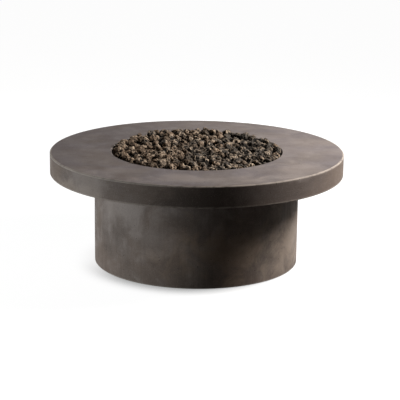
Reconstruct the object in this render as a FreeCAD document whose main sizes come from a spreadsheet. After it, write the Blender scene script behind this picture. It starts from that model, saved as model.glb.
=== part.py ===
import FreeCAD, Part
import math
import os
import random
import re
import Sketcher

# Round gas fire pit table: a cast concrete top with a deep apron on a plain round
# drum, a pan of lava rock in the middle, and the gas fittings behind the drum's wall.
# Millimetres. The origin is on the floor under the centre, +Z is up and the front is -Y.
# Pieces of the rear wall are drawn on +Y and then turned about the table's axis.

os.makedirs("parts", exist_ok=True)
doc = FreeCAD.newDocument("fire_pit_table")

# Driving dimensions
SIZES = {
    "table_height": 411, "top_diameter": 1067, "apron_depth": 76, "skirt_thickness": 24,
    "face_thickness": 22, "edge_chamfer": 3, "skirt_draft": 2, "cove_size": 12,
    "opening_diameter": 620, "collar_thickness": 20, "ledge_drop": 30, "ledge_thickness": 20,
    "ledge_width": 27, "rib_count": 8, "rib_thickness": 16, "rib_depth": 38, "rib_clearance": 3,
    "rib_bite": 4, "rib_taper_share": 0.75, "lug_depth": 20,
    "drum_diameter": 746, "drum_wall": 20, "floor_gap": 3, "foot_flange_width": 60,
    "foot_flange_thickness": 22, "pad_thickness": 3, "pad_width": 14, "pad_angle": 9, "pad_count": 8,
    "foot_circle": 340, "foot_pad_diameter": 40, "foot_pad_thickness": 6, "foot_pad_round": 2,
    "foot_thread": 10, "foot_length": 45, "insert_diameter": 16,
    "stop_gap": 0.3, "running_gap": 0.1, "seal_gap": 0.2, "wall_reach": 20,
    "pan_clearance": 3.5, "pan_depth": 50, "pan_taper": 8, "sheet_thickness": 1.5,
    "pan_flange_gap": 6, "weep_circle": 170, "weep_diameter": 8, "weep_count": 3,
    "arm_count": 6, "arm_diameter": 16, "arm_length": 205, "arm_bore": 12, "arm_lift": 0.8,
    "arm_socket": 6, "arm_end_wall": 3, "slot_count": 5, "slot_start": 14, "slot_width": 2,
    "slot_pitch": 30, "slot_share": 0.6, "burner_turn": 30,
    "hub_diameter": 84, "hub_rise": 1.5, "hub_wall": 2.5,
    "pipe_diameter": 21, "pipe_bore": 15, "pipe_step": 1, "pipe_drop": 22,
    "nut_thickness": 7, "nut_flats": 30,
    "rock_pitch": 36, "under_rock_pitch": 46, "rock_rise": 8, "rock_mound": 20,
    "rock_unevenness": 6, "rock_jitter": 0.17, "rock_gap": 0.3,
    "elbow_diameter": 30, "elbow_length": 44, "mixer_diameter": 26, "mixer_bore": 18,
    "mixer_length": 70, "mixer_shank": 12, "mixer_step": 2, "mixer_end_wall": 6,
    "window_length": 12, "window_width": 10, "window_inset": 8,
    "shutter_length": 22, "shutter_wall": 2, "tab_width": 6, "tab_height": 9,
    "jet_thread": 12, "jet_tip": 6, "jet_orifice": 1.8, "jet_collar": 18,
    "jet_collar_length": 6, "jet_length": 14,
    "hose_nut_flats": 18, "hose_nut_length": 16, "hose_diameter": 10, "hose_bore": 6, "tail_wall": 2,
    "control_turn": -42, "control_half_angle": 7, "control_reach": 37, "control_pitch": 50,
    "plate_thickness": 2, "plate_lap": 12, "knob_height": 215,
    "valve_width": 34, "valve_height": 40, "valve_depth": 42, "valve_back": 303, "valve_gap": 4,
    "neck_diameter": 18, "stem_diameter": 8, "stem_depth": 12,
    "washer_width": 4, "washer_thickness": 2,
    "knob_diameter": 42, "knob_depth": 20, "knob_travel": 3, "knob_skirt": 1.5, "knob_band": 4,
    "knob_taper": 3, "knob_round": 2, "knob_wall": 6, "knob_face_thickness": 5,
    "knob_hub_wall": 3, "grip_width": 7, "grip_rise": 5,
    "panel_nut_thickness": 3, "panel_nut_flats": 24, "igniter_nut_flats": 30,
    "igniter_diameter": 22, "igniter_depth": 36, "igniter_rim": 2, "button_diameter": 16,
    "button_travel": 5, "button_stand": 9, "button_depth": 7, "button_seat": 8, "button_round": 1.5,
    "terminal_stand": 8, "terminal_inset": 5, "terminal_wall": 1.5, "lead_diameter": 3,
    "electrode_side": 26, "electrode_out": 75, "electrode_diameter": 8, "electrode_length": 62,
    "electrode_drop": 12, "electrode_collar": 3, "electrode_tip": 10,
    "inlet_height": 70, "inlet_bore": 21.2, "inlet_depth": 19, "inlet_set_back": 2,
    "inlet_cone": 3, "inlet_boss_diameter": 34, "inlet_flange_diameter": 46,
    "inlet_flange_thickness": 4, "inlet_neck_diameter": 27, "inlet_tail": 16,
    "train_out": 318, "train_diameter": 26, "shutoff_low": 96, "shutoff_high": 146,
    "shutoff_diameter": 28, "shutoff_bulge": 36, "spindle_diameter": 6, "spindle_stand": 12,
    "spindle_boss": 14, "spindle_nose": 4, "spindle_depth": 4,
    "lever_length": 64, "lever_width": 14, "lever_thickness": 3, "lever_nut_diameter": 10,
    "riser_diameter": 14, "riser_wall": 2, "riser_socket": 8, "riser_socket_wall": 3,
    "door_turn": 0, "door_half_angle": 17, "door_low": 75, "door_high": 245, "door_gap": 1.2,
    "door_gap_angle": 0.2, "door_return": 8, "frame_wall_angle": 1.25, "frame_fit_angle": 0.05,
    "frame_wall": 9, "frame_depth": 9, "frame_lap_angle": 4, "frame_lap": 24, "screw_inset": 4,
    "louvre_count": 4, "louvre_pitch": 24, "louvre_height": 8, "louvre_half_angle": 9,
    "louvre_throw": 5, "louvre_lip": 1.5, "louvre_brow": 2.5, "louvre_root": 0.5,
    "louvre_sheet": 2, "louvre_end_angle": 0.4,
    "hinge_diameter": 8, "hinge_pin_diameter": 3.6, "hinge_length": 130, "hinge_leaf_width": 15,
    "hinge_leaf_thickness": 1.6, "hinge_tab": 3, "hinge_head": 2,
    "knuckle_count": 5,
    "latch_angle": 13, "latch_shaft_diameter": 8, "latch_head_diameter": 22, "latch_seat": 0.6,
    "latch_face": 4, "latch_round": 1, "wing_width": 5, "wing_rise": 10, "wing_inset": 2,
    "cam_length": 31, "cam_width": 12, "cam_thickness": 3, "cam_gap": 2,
    "screw_diameter": 5, "screw_head_flats": 8, "screw_head_height": 3.5, "screw_length": 14,
}
sizes = doc.addObject("Spreadsheet::Sheet", "Sizes")
for row, (alias, number) in enumerate(SIZES.items(), start=1):
    sizes.set(f"A{row}", alias.replace("_", " "))
    sizes.set(f"B{row}", str(number))
    sizes.setAlias(f"B{row}", alias)
doc.recompute()

# Places that several pieces share, each worked out from the sheet
TOP = "(top_diameter / 2)"
OPENING = "(opening_diameter / 2)"
UNDERSIDE = "(table_height - face_thickness)"
LEDGE = "(table_height - ledge_drop)"
LEDGE_EDGE = f"({OPENING} - ledge_width)"
DRUM = "(drum_diameter / 2)"
DRUM_INSIDE = f"({DRUM} - drum_wall)"
DRUM_TOP = f"({UNDERSIDE} - pad_thickness)"
FOOT_SEAT = "(foot_pad_thickness + stop_gap)"
FLANGE_TOP = "(floor_gap + foot_flange_thickness)"
PAN_WALL = f"({LEDGE_EDGE} - pan_clearance)"
PAN_FLOOR = f"({LEDGE} + sheet_thickness - pan_depth)"
ARM_AXIS = f"({LEDGE} + sheet_thickness - arm_lift - arm_diameter / 2)"
HUB_LOW = f"({ARM_AXIS} - arm_diameter / 2 - hub_rise)"
HUB_TOP = f"({ARM_AXIS} + arm_diameter / 2 + hub_rise)"
PIPE_LOW = f"({PAN_FLOOR} - sheet_thickness - pipe_drop)"
ELBOW_AXIS = f"({PIPE_LOW} - elbow_diameter / 2)"
PLATE_BACK = f"({DRUM} + seal_gap)"
PLATE_FACE = f"({PLATE_BACK} + plate_thickness)"
NECK_END = f"({PLATE_FACE} + panel_nut_thickness + seal_gap)"
COLLAR_BACK = f"({NECK_END} + knob_travel + 1)"
VALVE_LOW = "(knob_height - valve_height / 2)"
IGNITER_HEIGHT = "(knob_height - control_pitch)"
CONTROL_LOW = f"({IGNITER_HEIGHT} - control_reach)"
CONTROL_HIGH = "(knob_height + control_reach)"
DOOR_FACE = PLATE_FACE
HINGE_AXIS = f"({DOOR_FACE} + hinge_diameter / 2 + seal_gap)"
HINGE_ANGLE = "(door_half_angle - door_gap_angle / 2)"

alias_words = re.compile(r"\b(" + "|".join(sorted(SIZES, key=len, reverse=True)) + r")\b")


def formula(text):
    """Write a formula of aliases the way the document reads it."""
    return alias_words.sub(r"Sizes.\1", str(text))


def value(text):
    """Work a formula out with the sheet's present numbers."""
    return float(sizes.evalExpression(formula(text)))


def bind(item, **formulas):
    for size, text in formulas.items():
        item.setExpression(size, formula(text))
    return item


def place(item, x=0, y=0, z=0):
    for axis, text in zip("xyz", (x, y, z)):
        item.setExpression(f"Placement.Base.{axis}", formula(text))
    return item


def turn(item, angle):
    """Turn a finished piece about the table's axis, anticlockwise seen from above."""
    item.Placement = FreeCAD.Placement(FreeCAD.Vector(), FreeCAD.Rotation(FreeCAD.Vector(0, 0, 1), 1))
    item.setExpression("Placement.Rotation.Angle", formula(angle))
    return item


# Plain solids and booleans. A cutter runs 1 mm past each face that it opens.
def upright(radius, low, high, x=0, y=0):
    item = bind(doc.addObject("Part::Cylinder", "Upright"), Radius=radius, Height=f"{high} - ({low})")
    return place(item, x, y, low)


def rod(radius, start, end, x=0, z=0):
    """A round bar along +Y."""
    item = bind(doc.addObject("Part::Cylinder", "Rod"), Radius=radius, Height=f"{end} - ({start})")
    item.Placement.Rotation = FreeCAD.Rotation(FreeCAD.Vector(1, 0, 0), -90)
    return place(item, x, start, z)


def crossbar(radius, start, end, y, z):
    """A round bar along +X."""
    item = bind(doc.addObject("Part::Cylinder", "Crossbar"), Radius=radius, Height=f"{end} - ({start})")
    item.Placement.Rotation = FreeCAD.Rotation(FreeCAD.Vector(0, 1, 0), 90)
    return place(item, start, y, z)


def hexagon(flats, start, end, z=None, x=0, y=0):
    """A six-sided nut blank: along +Y at height z, or upright where z is left out."""
    item = bind(doc.addObject("Part::Prism", "Hexagon"), Circumradius=f"{flats} / sqrt(3)",
                Height=f"{end} - ({start})")
    if z is None:
        return place(item, x, y, start)
    item.Placement.Rotation = FreeCAD.Rotation(FreeCAD.Vector(1, 0, 0), -90)
    return place(item, x, start, z)


def block(wide, front, back, low, high, x=0):
    """A box of the given width, from front to back along +Y and from low to high."""
    item = bind(doc.addObject("Part::Box", "Block"), Length=wide, Width=f"{back} - ({front})",
                Height=f"{high} - ({low})")
    return place(item, f"{x} - ({wide}) / 2", front, low)


def wedge(radius, low, high, half_angle):
    """A slice of a round column, centred on +Y."""
    item = bind(doc.addObject("Part::Cylinder", "Wedge"), Radius=radius, Height=f"{high} - ({low})",
                Angle=f"2 * ({half_angle})")
    item.Placement.Rotation = FreeCAD.Rotation(FreeCAD.Vector(0, 0, 1), 1)
    item.setExpression("Placement.Rotation.Angle", formula(f"90 - ({half_angle})"))
    return place(item, z=low)


def fuse(*items):
    joined = doc.addObject("Part::MultiFuse", "Joined")
    joined.Shapes = list(items)
    return joined


def group(*items):
    kept = doc.addObject("Part::Compound", "Group")
    kept.Links = list(items)
    return kept


def cut(base, *tools):
    left = doc.addObject("Part::Cut", "Left")
    left.Base = base
    left.Tool = tools[0] if len(tools) == 1 else fuse(*tools)
    return left


def copy_of(item):
    copied = doc.addObject("Part::Compound", "Copy")
    copied.Links = [item]
    return copied


def turned_with(angle, item):
    return turn(copy_of(item), angle)


def at_corners(item):
    """Four copies of a piece, on the diagonals between the front, back and sides."""
    return [turned_with(45 + 90 * k, item) for k in range(4)]


def rolled(outer, inner, low, high, half_angle):
    """A slice of a rolled plate, centred on +Y."""
    return cut(wedge(outer, low, high, half_angle),
               upright(inner, f"({low}) - 1", f"({high}) + 1"))


# Sketched bodies
def origin(body, role):
    return next(part for part in body.Origin.OriginFeatures if part.Role == role)


def outline(body, plane, corners, axis_height=None):
    """Close a sketch through corners that are formulas measured from the origin."""
    sketch = body.newObject("Sketcher::SketchObject", "Outline")
    sketch.AttachmentSupport = [(origin(body, plane), "")]
    sketch.MapMode = "FlatFace"
    if axis_height is not None:
        corners = [(along, f"{axis_height} + {away}") for along, away in corners]
    ends = [FreeCAD.Vector(value(a), value(b), 0) for a, b in corners]
    count = len(ends)
    for k in range(count):
        sketch.addGeometry(Part.LineSegment(ends[k], ends[(k + 1) % count]), False)
    for k in range(count):
        sketch.addConstraint(Sketcher.Constraint("Coincident", k, 2, (k + 1) % count, 1))
    fixed = [(k, 1, corners[k]) for k in range(count)]
    if axis_height is not None:
        line = [("0", axis_height), (DRUM, axis_height)]
        shaft = [FreeCAD.Vector(value(a), value(b), 0) for a, b in line]
        spare = sketch.addGeometry(Part.LineSegment(*shaft), True)
        fixed += [(spare, 1, line[0]), (spare, 2, line[1])]
    for curve, end, corner in fixed:
        for kind, text in zip(("DistanceX", "DistanceY"), corner):
            number = sketch.addConstraint(Sketcher.Constraint(kind, -1, 1, curve, end, value(text)))
            sketch.setExpression(f"Constraints[{number}]", formula(text))
    return sketch


def spun(corners, angle=360, body=None):
    """Turn a section of (radius, height) corners about the table's axis."""
    body = body or doc.addObject("PartDesign::Body", "Spun")
    sketch = outline(body, "XZ_Plane", corners)
    turned = body.newObject("PartDesign::Revolution", "Turned")
    turned.Profile = sketch
    turned.ReferenceAxis = (sketch, ["V_Axis"])
    turned.setExpression("Angle", formula(angle))
    return body


def lathe(height, corners):
    """Turn a section of (distance out, radius) corners about a level axis along +Y."""
    body = doc.addObject("PartDesign::Body", "Lathe")
    sketch = outline(body, "YZ_Plane", corners, height)
    turned = body.newObject("PartDesign::Revolution", "Turned")
    turned.Profile = sketch
    turned.ReferenceAxis = (sketch, ["Axis0"])
    turned.Angle = 360
    return body


def spaced(body, feature, count):
    """Repeat a feature round the table's axis."""
    pattern = body.newObject("PartDesign::PolarPattern", "Spaced")
    pattern.Originals = [feature]
    pattern.Axis = (origin(body, "Z_Axis"), [""])
    pattern.Angle = 360
    pattern.setExpression("Occurrences", formula(count))
    body.Tip = pattern
    return body


def web(body, corners, thickness):
    """A flat web of (radius, height) corners, centred on the section plane."""
    sketch = outline(body, "XZ_Plane", corners)
    plate = body.newObject("PartDesign::Pad", "Web")
    plate.Profile = sketch
    plate.SideType = "Symmetric"
    plate.setExpression("Length", formula(thickness))
    return plate


nodes = {}


def keep(name, item):
    item.Label = name
    nodes[name] = item
    return item


# Concrete top: face, apron skirt, collar with the pan's ledge, ribs that locate it on the drum
def table_top():
    skirt_low = "(table_height - apron_depth)"
    skirt_inside = f"({TOP} - skirt_thickness)"
    collar_outside = f"({OPENING} + collar_thickness)"
    body = spun([
        (f"{OPENING} + edge_chamfer", "table_height"),
        (f"{TOP} - edge_chamfer", "table_height"),
        (TOP, "table_height - edge_chamfer"),
        (TOP, f"{skirt_low} + edge_chamfer / 2"),
        (f"{TOP} - edge_chamfer / 2", skirt_low),
        (f"{skirt_inside} + skirt_draft", skirt_low),
        (skirt_inside, f"{UNDERSIDE} - cove_size"),
        (f"{skirt_inside} - cove_size", UNDERSIDE),
        (f"{collar_outside} + cove_size", UNDERSIDE),
        (collar_outside, f"{UNDERSIDE} - cove_size"),
        (collar_outside, f"{LEDGE} - ledge_thickness"),
        (LEDGE_EDGE, f"{LEDGE} - ledge_thickness"),
        (LEDGE_EDGE, LEDGE),
        (OPENING, LEDGE),
        (OPENING, "table_height - edge_chamfer"),
    ])
    drum_side = f"({DRUM} + rib_clearance)"
    rib = web(body, [
        (drum_side, f"{UNDERSIDE} + 1"),
        (drum_side, f"{UNDERSIDE} - rib_depth"),
        (f"{skirt_inside} + rib_bite", f"{UNDERSIDE} - rib_depth * rib_taper_share"),
        (f"{skirt_inside} + rib_bite", f"{UNDERSIDE} + 1"),
    ], "rib_thickness")
    spaced(body, rib, "rib_count")
    lug_side = f"({DRUM_INSIDE} - rib_clearance)"
    lug = web(body, [
        (lug_side, f"{UNDERSIDE} + 1"),
        (lug_side, f"{UNDERSIDE} - lug_depth"),
        (f"{collar_outside} - rib_bite", f"{UNDERSIDE} - lug_depth"),
        (f"{collar_outside} - rib_bite", f"{UNDERSIDE} + 1"),
    ], "rib_thickness")
    spaced(body, lug, "rib_count")
    return body


# Concrete drum: wall, foot flange inside its lower edge, and holes for what goes through it
def base_drum():
    shell = spun([
        (f"{DRUM} - edge_chamfer / 2", "floor_gap"),
        (DRUM, "floor_gap + edge_chamfer / 2"),
        (DRUM, DRUM_TOP),
        (DRUM_INSIDE, DRUM_TOP),
        (DRUM_INSIDE, f"{FLANGE_TOP} + cove_size"),
        (f"{DRUM_INSIDE} - cove_size", FLANGE_TOP),
        (f"{DRUM} - foot_flange_width", FLANGE_TOP),
        (f"{DRUM} - foot_flange_width", "floor_gap"),
    ])
    foot_hole = fuse(
        upright("foot_pad_diameter / 2 + foot_pad_round", "floor_gap - 1", FOOT_SEAT, y="foot_circle"),
        upright("insert_diameter / 2", "floor_gap", f"{FLANGE_TOP} + cove_size + 1", y="foot_circle"))
    beyond = f"({DRUM} + wall_reach)"
    before = f"({DRUM_INSIDE} - wall_reach)"
    doorway = turned_with("door_turn", wedge(beyond, "door_low - frame_wall", "door_high + frame_wall",
                                             "door_half_angle + frame_wall_angle"))
    behind_controls = turn(fuse(
        block("valve_width + 2 * valve_gap", before, beyond,
              f"{CONTROL_LOW} + plate_lap", f"{CONTROL_HIGH} - plate_lap"),
        rod("inlet_neck_diameter / 2 + stop_gap", before, beyond, z="inlet_height"),
        *control_screw_holes()), "control_turn")
    frame_holes = turn(fuse(*at_frame_corners(screw_hole)), "door_turn")
    return cut(shell, *at_corners(foot_hole), doorway, behind_controls, frame_holes)


# Rubber pads between the drum and the top
def bearing_pads():
    middle = f"({DRUM} - drum_wall / 2)"
    pads = spun([
        (f"{middle} - pad_width / 2", DRUM_TOP),
        (f"{middle} + pad_width / 2", DRUM_TOP),
        (f"{middle} + pad_width / 2", UNDERSIDE),
        (f"{middle} - pad_width / 2", UNDERSIDE)], "pad_angle")
    return spaced(pads, pads.Tip, "pad_count")


# Levelling feet, shown screwed right in, and the threaded inserts they run in
def levelling_foot(angle):
    foot = spun([
        ("0", "0"),
        ("foot_pad_diameter / 2 - foot_pad_round", "0"),
        ("foot_pad_diameter / 2", "foot_pad_round"),
        ("foot_pad_diameter / 2", "foot_pad_thickness"),
        ("foot_thread / 2", "foot_pad_thickness"),
        ("foot_thread / 2", "foot_length"),
        ("0", "foot_length")])
    place(foot, y="foot_circle")
    return turned_with(angle, foot)


def foot_inserts():
    insert = cut(upright("insert_diameter / 2", FOOT_SEAT, FLANGE_TOP, y="foot_circle"),
                 upright("foot_thread / 2 + running_gap", f"{FOOT_SEAT} - 1", f"{FLANGE_TOP} + 1",
                         y="foot_circle"))
    return group(*at_corners(insert))


# Burner pan of thin sheet, hung by its flange on the collar's ledge
def burner_pan():
    floor_low = f"({PAN_FLOOR} - sheet_thickness)"
    floor_edge = f"({PAN_WALL} - pan_taper)"
    pan = spun([
        ("pipe_diameter / 2 + stop_gap", floor_low),
        (floor_edge, floor_low),
        (PAN_WALL, LEDGE),
        (f"{OPENING} - pan_flange_gap", LEDGE),
        (f"{OPENING} - pan_flange_gap", f"{LEDGE} + sheet_thickness"),
        (f"{PAN_WALL} - sheet_thickness", f"{LEDGE} + sheet_thickness"),
        (f"{floor_edge} - sheet_thickness", PAN_FLOOR),
        ("pipe_diameter / 2 + stop_gap", PAN_FLOOR)])
    weep_hole = upright("weep_diameter / 2", f"{floor_low} - 1", f"{PAN_FLOOR} + 1", y="weep_circle")
    weep_holes = [turned_with(f"control_turn + 180 + {k} * 360 / weep_count", weep_hole)
                  for k in range(int(value("weep_count")))]
    electrode_hole = turned_with("control_turn", upright(
        "electrode_diameter / 2 + stop_gap", f"{floor_low} - 1", f"{PAN_FLOOR} + 1",
        "electrode_side", "electrode_out"))
    return cut(pan, *weep_holes, electrode_hole)


# Star burner: hollow hub with closed tubes, slotted on top for the flames
def arm_angles():
    count = int(value("arm_count"))
    return [f"control_turn + burner_turn + {k} * 360 / arm_count" for k in range(count)]


def burner():
    tubes = []
    hollows = []
    arm_high = f"({ARM_AXIS} + arm_diameter / 2)"
    arm_start = "(hub_diameter / 2 - arm_socket)"
    arm = rod("arm_diameter / 2", arm_start, "arm_length", z=ARM_AXIS)
    inside = rod("arm_bore / 2", f"{arm_start} - arm_socket", "arm_length - arm_end_wall", z=ARM_AXIS)
    slots = []
    for k in range(int(value("slot_count"))):
        slot_low = f"(hub_diameter / 2 + slot_start + {k} * slot_pitch)"
        slots.append(block("arm_diameter * slot_share", slot_low, f"{slot_low} + slot_width", ARM_AXIS,
                           f"{arm_high} + 1"))
    hollow = fuse(inside, *slots)
    for angle in arm_angles():
        tubes.append(turned_with(angle, arm))
        hollows.append(turned_with(angle, hollow))
    hub = upright("hub_diameter / 2", HUB_LOW, HUB_TOP)
    hub_inside = upright("hub_diameter / 2 - hub_wall", f"{HUB_LOW} + hub_wall", f"{HUB_TOP} - hub_wall")
    socket = upright("pipe_bore / 2", f"{HUB_LOW} - 1", f"{HUB_LOW} + hub_wall + 1")
    return cut(fuse(hub, *tubes), hub_inside, socket, *hollows)


def burner_pipe():
    """The short pipe through the pan, from the elbow up to the hub."""
    return cut(upright("pipe_diameter / 2", PIPE_LOW, HUB_LOW),
               upright("pipe_bore / 2", f"{PIPE_LOW} - 1", f"{HUB_LOW} + 1"))


def pan_nuts():
    floor_low = f"({PAN_FLOOR} - sheet_thickness)"
    nuts = []
    for low, high in ((PAN_FLOOR, f"{PAN_FLOOR} + nut_thickness"),
                      (f"{floor_low} - nut_thickness", floor_low)):
        nuts.append(cut(hexagon("nut_flats", low, high),
                        upright("pipe_diameter / 2", f"({low}) - 1", f"({high}) + 1")))
    return group(*nuts)


# Elbow and air mixer under the pan, with the turning shutter over the mixer's windows
def elbow():
    side_end = "(elbow_length / 2)"
    solid = fuse(upright("elbow_diameter / 2", f"{ELBOW_AXIS} - elbow_diameter / 2", PIPE_LOW),
                 rod("elbow_diameter / 2 - pipe_step", "0", side_end, z=ELBOW_AXIS))
    passage = fuse(upright("pipe_bore / 2", f"{ELBOW_AXIS} - pipe_bore / 2", f"{PIPE_LOW} + 1"),
                   rod("pipe_bore / 2 - pipe_step", "0", f"{side_end} + 1", z=ELBOW_AXIS))
    return cut(solid, passage)


MIXER_START = "(elbow_length / 2)"
MIXER_END = f"({MIXER_START} + mixer_length)"
WINDOW_START = f"({MIXER_END} - shutter_length / 2 - window_length / 2 - window_inset)"
WINDOW_LOW = f"({ELBOW_AXIS} - window_width / 2)"
WINDOW_HIGH = f"({ELBOW_AXIS} + window_width / 2)"


def air_mixer():
    tube = lathe(ELBOW_AXIS, [
        (MIXER_START, "mixer_bore / 2 - mixer_step"),
        (MIXER_START, "mixer_diameter / 2 - mixer_step"),
        (f"{MIXER_START} + mixer_shank", "mixer_diameter / 2"),
        (MIXER_END, "mixer_diameter / 2"),
        (MIXER_END, "jet_thread / 2"),
        (f"{MIXER_END} - mixer_end_wall", "jet_thread / 2"),
        (f"{MIXER_END} - mixer_end_wall", "mixer_bore / 2"),
        (f"{MIXER_START} + mixer_shank + mixer_step", "mixer_bore / 2")])
    windows = block("mixer_diameter + 2", WINDOW_START, f"{WINDOW_START} + window_length", WINDOW_LOW,
                    WINDOW_HIGH)
    return cut(tube, windows)


def air_shutter():
    inner = "(mixer_diameter / 2 + running_gap)"
    start = f"({WINDOW_START} + window_length / 2 - shutter_length / 2)"
    end = f"({start} + shutter_length)"
    sleeve = fuse(rod(f"{inner} + shutter_wall", start, end, z=ELBOW_AXIS),
                  block("tab_width", start, end, f"{ELBOW_AXIS} + {inner}",
                        f"{ELBOW_AXIS} + {inner} + shutter_wall + tab_height"))
    windows = block("mixer_diameter + 2 * shutter_wall + 2", WINDOW_START,
                    f"{WINDOW_START} + window_length", WINDOW_LOW, WINDOW_HIGH)
    return cut(sleeve, rod(inner, f"{start} - 1", f"{end} + 1", z=ELBOW_AXIS), windows)


JET_TIP = f"({MIXER_END} - 2 * mixer_end_wall)"
JET_COLLAR_END = f"({MIXER_END} + jet_collar_length)"
JET_END = f"({MIXER_END} + jet_length)"


def gas_jet():
    return cut(lathe(ELBOW_AXIS, [
        (JET_TIP, "jet_orifice / 2"),
        (JET_TIP, "jet_tip / 2"),
        (f"{MIXER_END} - mixer_end_wall", "jet_thread / 2"),
        (MIXER_END, "jet_thread / 2"),
        (MIXER_END, "jet_collar / 2"),
        (JET_COLLAR_END, "jet_collar / 2"),
        (JET_COLLAR_END, "hose_bore / 2 + tail_wall"),
        (JET_END, "hose_bore / 2 + tail_wall"),
        (JET_END, "jet_orifice / 2")]),
        rod("hose_bore / 2", MIXER_END, f"{JET_END} + 1", z=ELBOW_AXIS))


# Gas hose from the valve to the jet: a tube along straight runs and tangent arcs
def rounded_path(points, name):
    """Join points by straight runs and arcs whose radius is 0.45 of the shorter run over tan(turn / 2)."""
    corners = [FreeCAD.Vector(*point) for point in points]
    edges = []
    radii = []
    last = corners[0]
    for before, here, after in zip(corners, corners[1:], corners[2:]):
        into = (here - before).normalize()
        out = (after - here).normalize()
        half = into.getAngle(out) / 2
        reach = 0.45 * min((here - before).Length, (after - here).Length)
        radii.append(reach / math.tan(half))
        start = here - into * reach
        end = here + out * reach
        inward = (out - into).normalize()
        middle = here + inward * (reach * (1 - math.cos(half)) / math.sin(half))
        edges.append(Part.LineSegment(last, start).toShape())
        edges.append(Part.Arc(start, middle, end).toShape())
        last = end
    edges.append(Part.LineSegment(last, corners[-1]).toShape())
    print(name, "bend radii", [round(radius, 1) for radius in radii])
    return Part.Wire(edges)


def tube_along(points, radius, name):
    path = rounded_path(points, name)
    ahead = FreeCAD.Vector(*points[1]) - FreeCAD.Vector(*points[0])
    ring = Part.Wire(Part.makeCircle(radius, FreeCAD.Vector(*points[0]), ahead))
    tube = path.makePipeShell([ring], True, False)
    print(name, "length", round(path.Length, 1), "volume ratio",
          round(tube.Volume / (math.pi * radius ** 2 * path.Length), 4))
    return tube


def routed(points, diameter, name):
    """A tube as a document object, turned with the controls."""
    item = doc.addObject("Part::Feature", "Tube")
    item.Shape = tube_along(points, value(diameter) / 2, name)
    return turn(item, "control_turn")


HOSE_FROM = f"({JET_END} + hose_nut_length)"
HOSE_TO = "(valve_back - hose_nut_length)"


def gas_hose():
    start, end = value(HOSE_FROM), value(HOSE_TO)
    low, high = value("knob_height"), value(ELBOW_AXIS)
    span, drop = end - start, high - low
    points = [(0, start, high), (0, start + 0.23 * span, high), (3, start + 0.42 * span, high - 0.25 * drop),
              (4, start + 0.58 * span, high - 0.75 * drop), (0, end - 0.23 * span, low), (0, end, low)]
    return routed(points, "hose_diameter", "gas_hose")


def hose_nuts():
    ends = []
    for start, end, height in ((JET_COLLAR_END, HOSE_FROM, ELBOW_AXIS),
                               (HOSE_TO, "valve_back", "knob_height")):
        ends.append(hexagon("hose_nut_flats", start, end, height))
    jet_socket = rod("hose_bore / 2 + tail_wall", f"{JET_COLLAR_END} - 1", JET_END, z=ELBOW_AXIS)
    return cut(group(*ends), jet_socket)


# Push-and-turn gas valve behind the control plate, with its stem, collar and knob
def gas_valve():
    front = "(valve_back + valve_depth)"
    housing = block("valve_width", "valve_back", front, VALVE_LOW, "knob_height + valve_height / 2")
    neck = rod("neck_diameter / 2", f"{front} - 1", NECK_END, z="knob_height")
    boss = upright("riser_diameter / 2 + riser_socket_wall", f"{VALVE_LOW} - riser_socket",
                   f"{VALVE_LOW} + 1", y="train_out")
    bore = rod("stem_diameter / 2 + running_gap", f"{front} - stem_depth", f"{NECK_END} + 1",
               z="knob_height")
    return cut(fuse(housing, neck, boss), bore)


def stem_collar():
    """The washer that the knob is pushed against; it slides but does not turn."""
    front = f"({COLLAR_BACK} + washer_thickness)"
    return cut(rod("stem_diameter / 2 + washer_width", COLLAR_BACK, front, z="knob_height"),
               rod("stem_diameter / 2 + running_gap", f"{COLLAR_BACK} - 1", f"{front} + 1",
                   z="knob_height"))


KNOB_BACK = f"({COLLAR_BACK} - knob_skirt)"
HUB_BACK = f"({COLLAR_BACK} + washer_thickness + stop_gap)"
KNOB_FACE = f"({KNOB_BACK} + knob_depth)"
SOCKET_END = f"({KNOB_FACE} - knob_face_thickness)"


def valve_stem():
    back = "(valve_back + valve_depth - stem_depth + knob_travel + 1)"
    return lathe("knob_height", [
        (back, "0"),
        (back, "stem_diameter / 2"),
        (SOCKET_END, "stem_diameter / 2"),
        (SOCKET_END, "0")])


def control_knob():
    face = "(knob_diameter / 2 - knob_taper - knob_round)"
    body = lathe("knob_height", [
        (KNOB_BACK, "knob_diameter / 2 - knob_taper"),
        (KNOB_BACK, "knob_diameter / 2"),
        (f"{KNOB_BACK} + knob_band", "knob_diameter / 2"),
        (f"{KNOB_FACE} - knob_round", "knob_diameter / 2 - knob_taper"),
        (KNOB_FACE, face),
        (KNOB_FACE, "0"),
        (SOCKET_END, "0"),
        (SOCKET_END, "stem_diameter / 2"),
        (HUB_BACK, "stem_diameter / 2"),
        (HUB_BACK, "stem_diameter / 2 + knob_hub_wall"),
        (SOCKET_END, "stem_diameter / 2 + knob_hub_wall"),
        (SOCKET_END, "knob_diameter / 2 - knob_wall")])
    grip = block("grip_width", f"{KNOB_FACE} - 1", f"{KNOB_FACE} + grip_rise", f"knob_height - {face}",
                 f"knob_height + {face}")
    return fuse(body, grip)


def screw_hole(z):
    return rod("screw_diameter / 2 + running_gap", f"{PLATE_BACK} - screw_length - 1", f"{PLATE_FACE} + 1",
               z=z)


def screw(z):
    return fuse(rod("screw_diameter / 2", f"{PLATE_BACK} - screw_length", PLATE_FACE, z=z),
                hexagon("screw_head_flats", PLATE_FACE, f"{PLATE_FACE} + screw_head_height", z))


CONTROL_SCREW_HEIGHTS = (f"{CONTROL_LOW} + plate_lap / 2", f"{CONTROL_HIGH} - plate_lap / 2")


def control_screw_holes():
    return [screw_hole(height) for height in CONTROL_SCREW_HEIGHTS]


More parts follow.
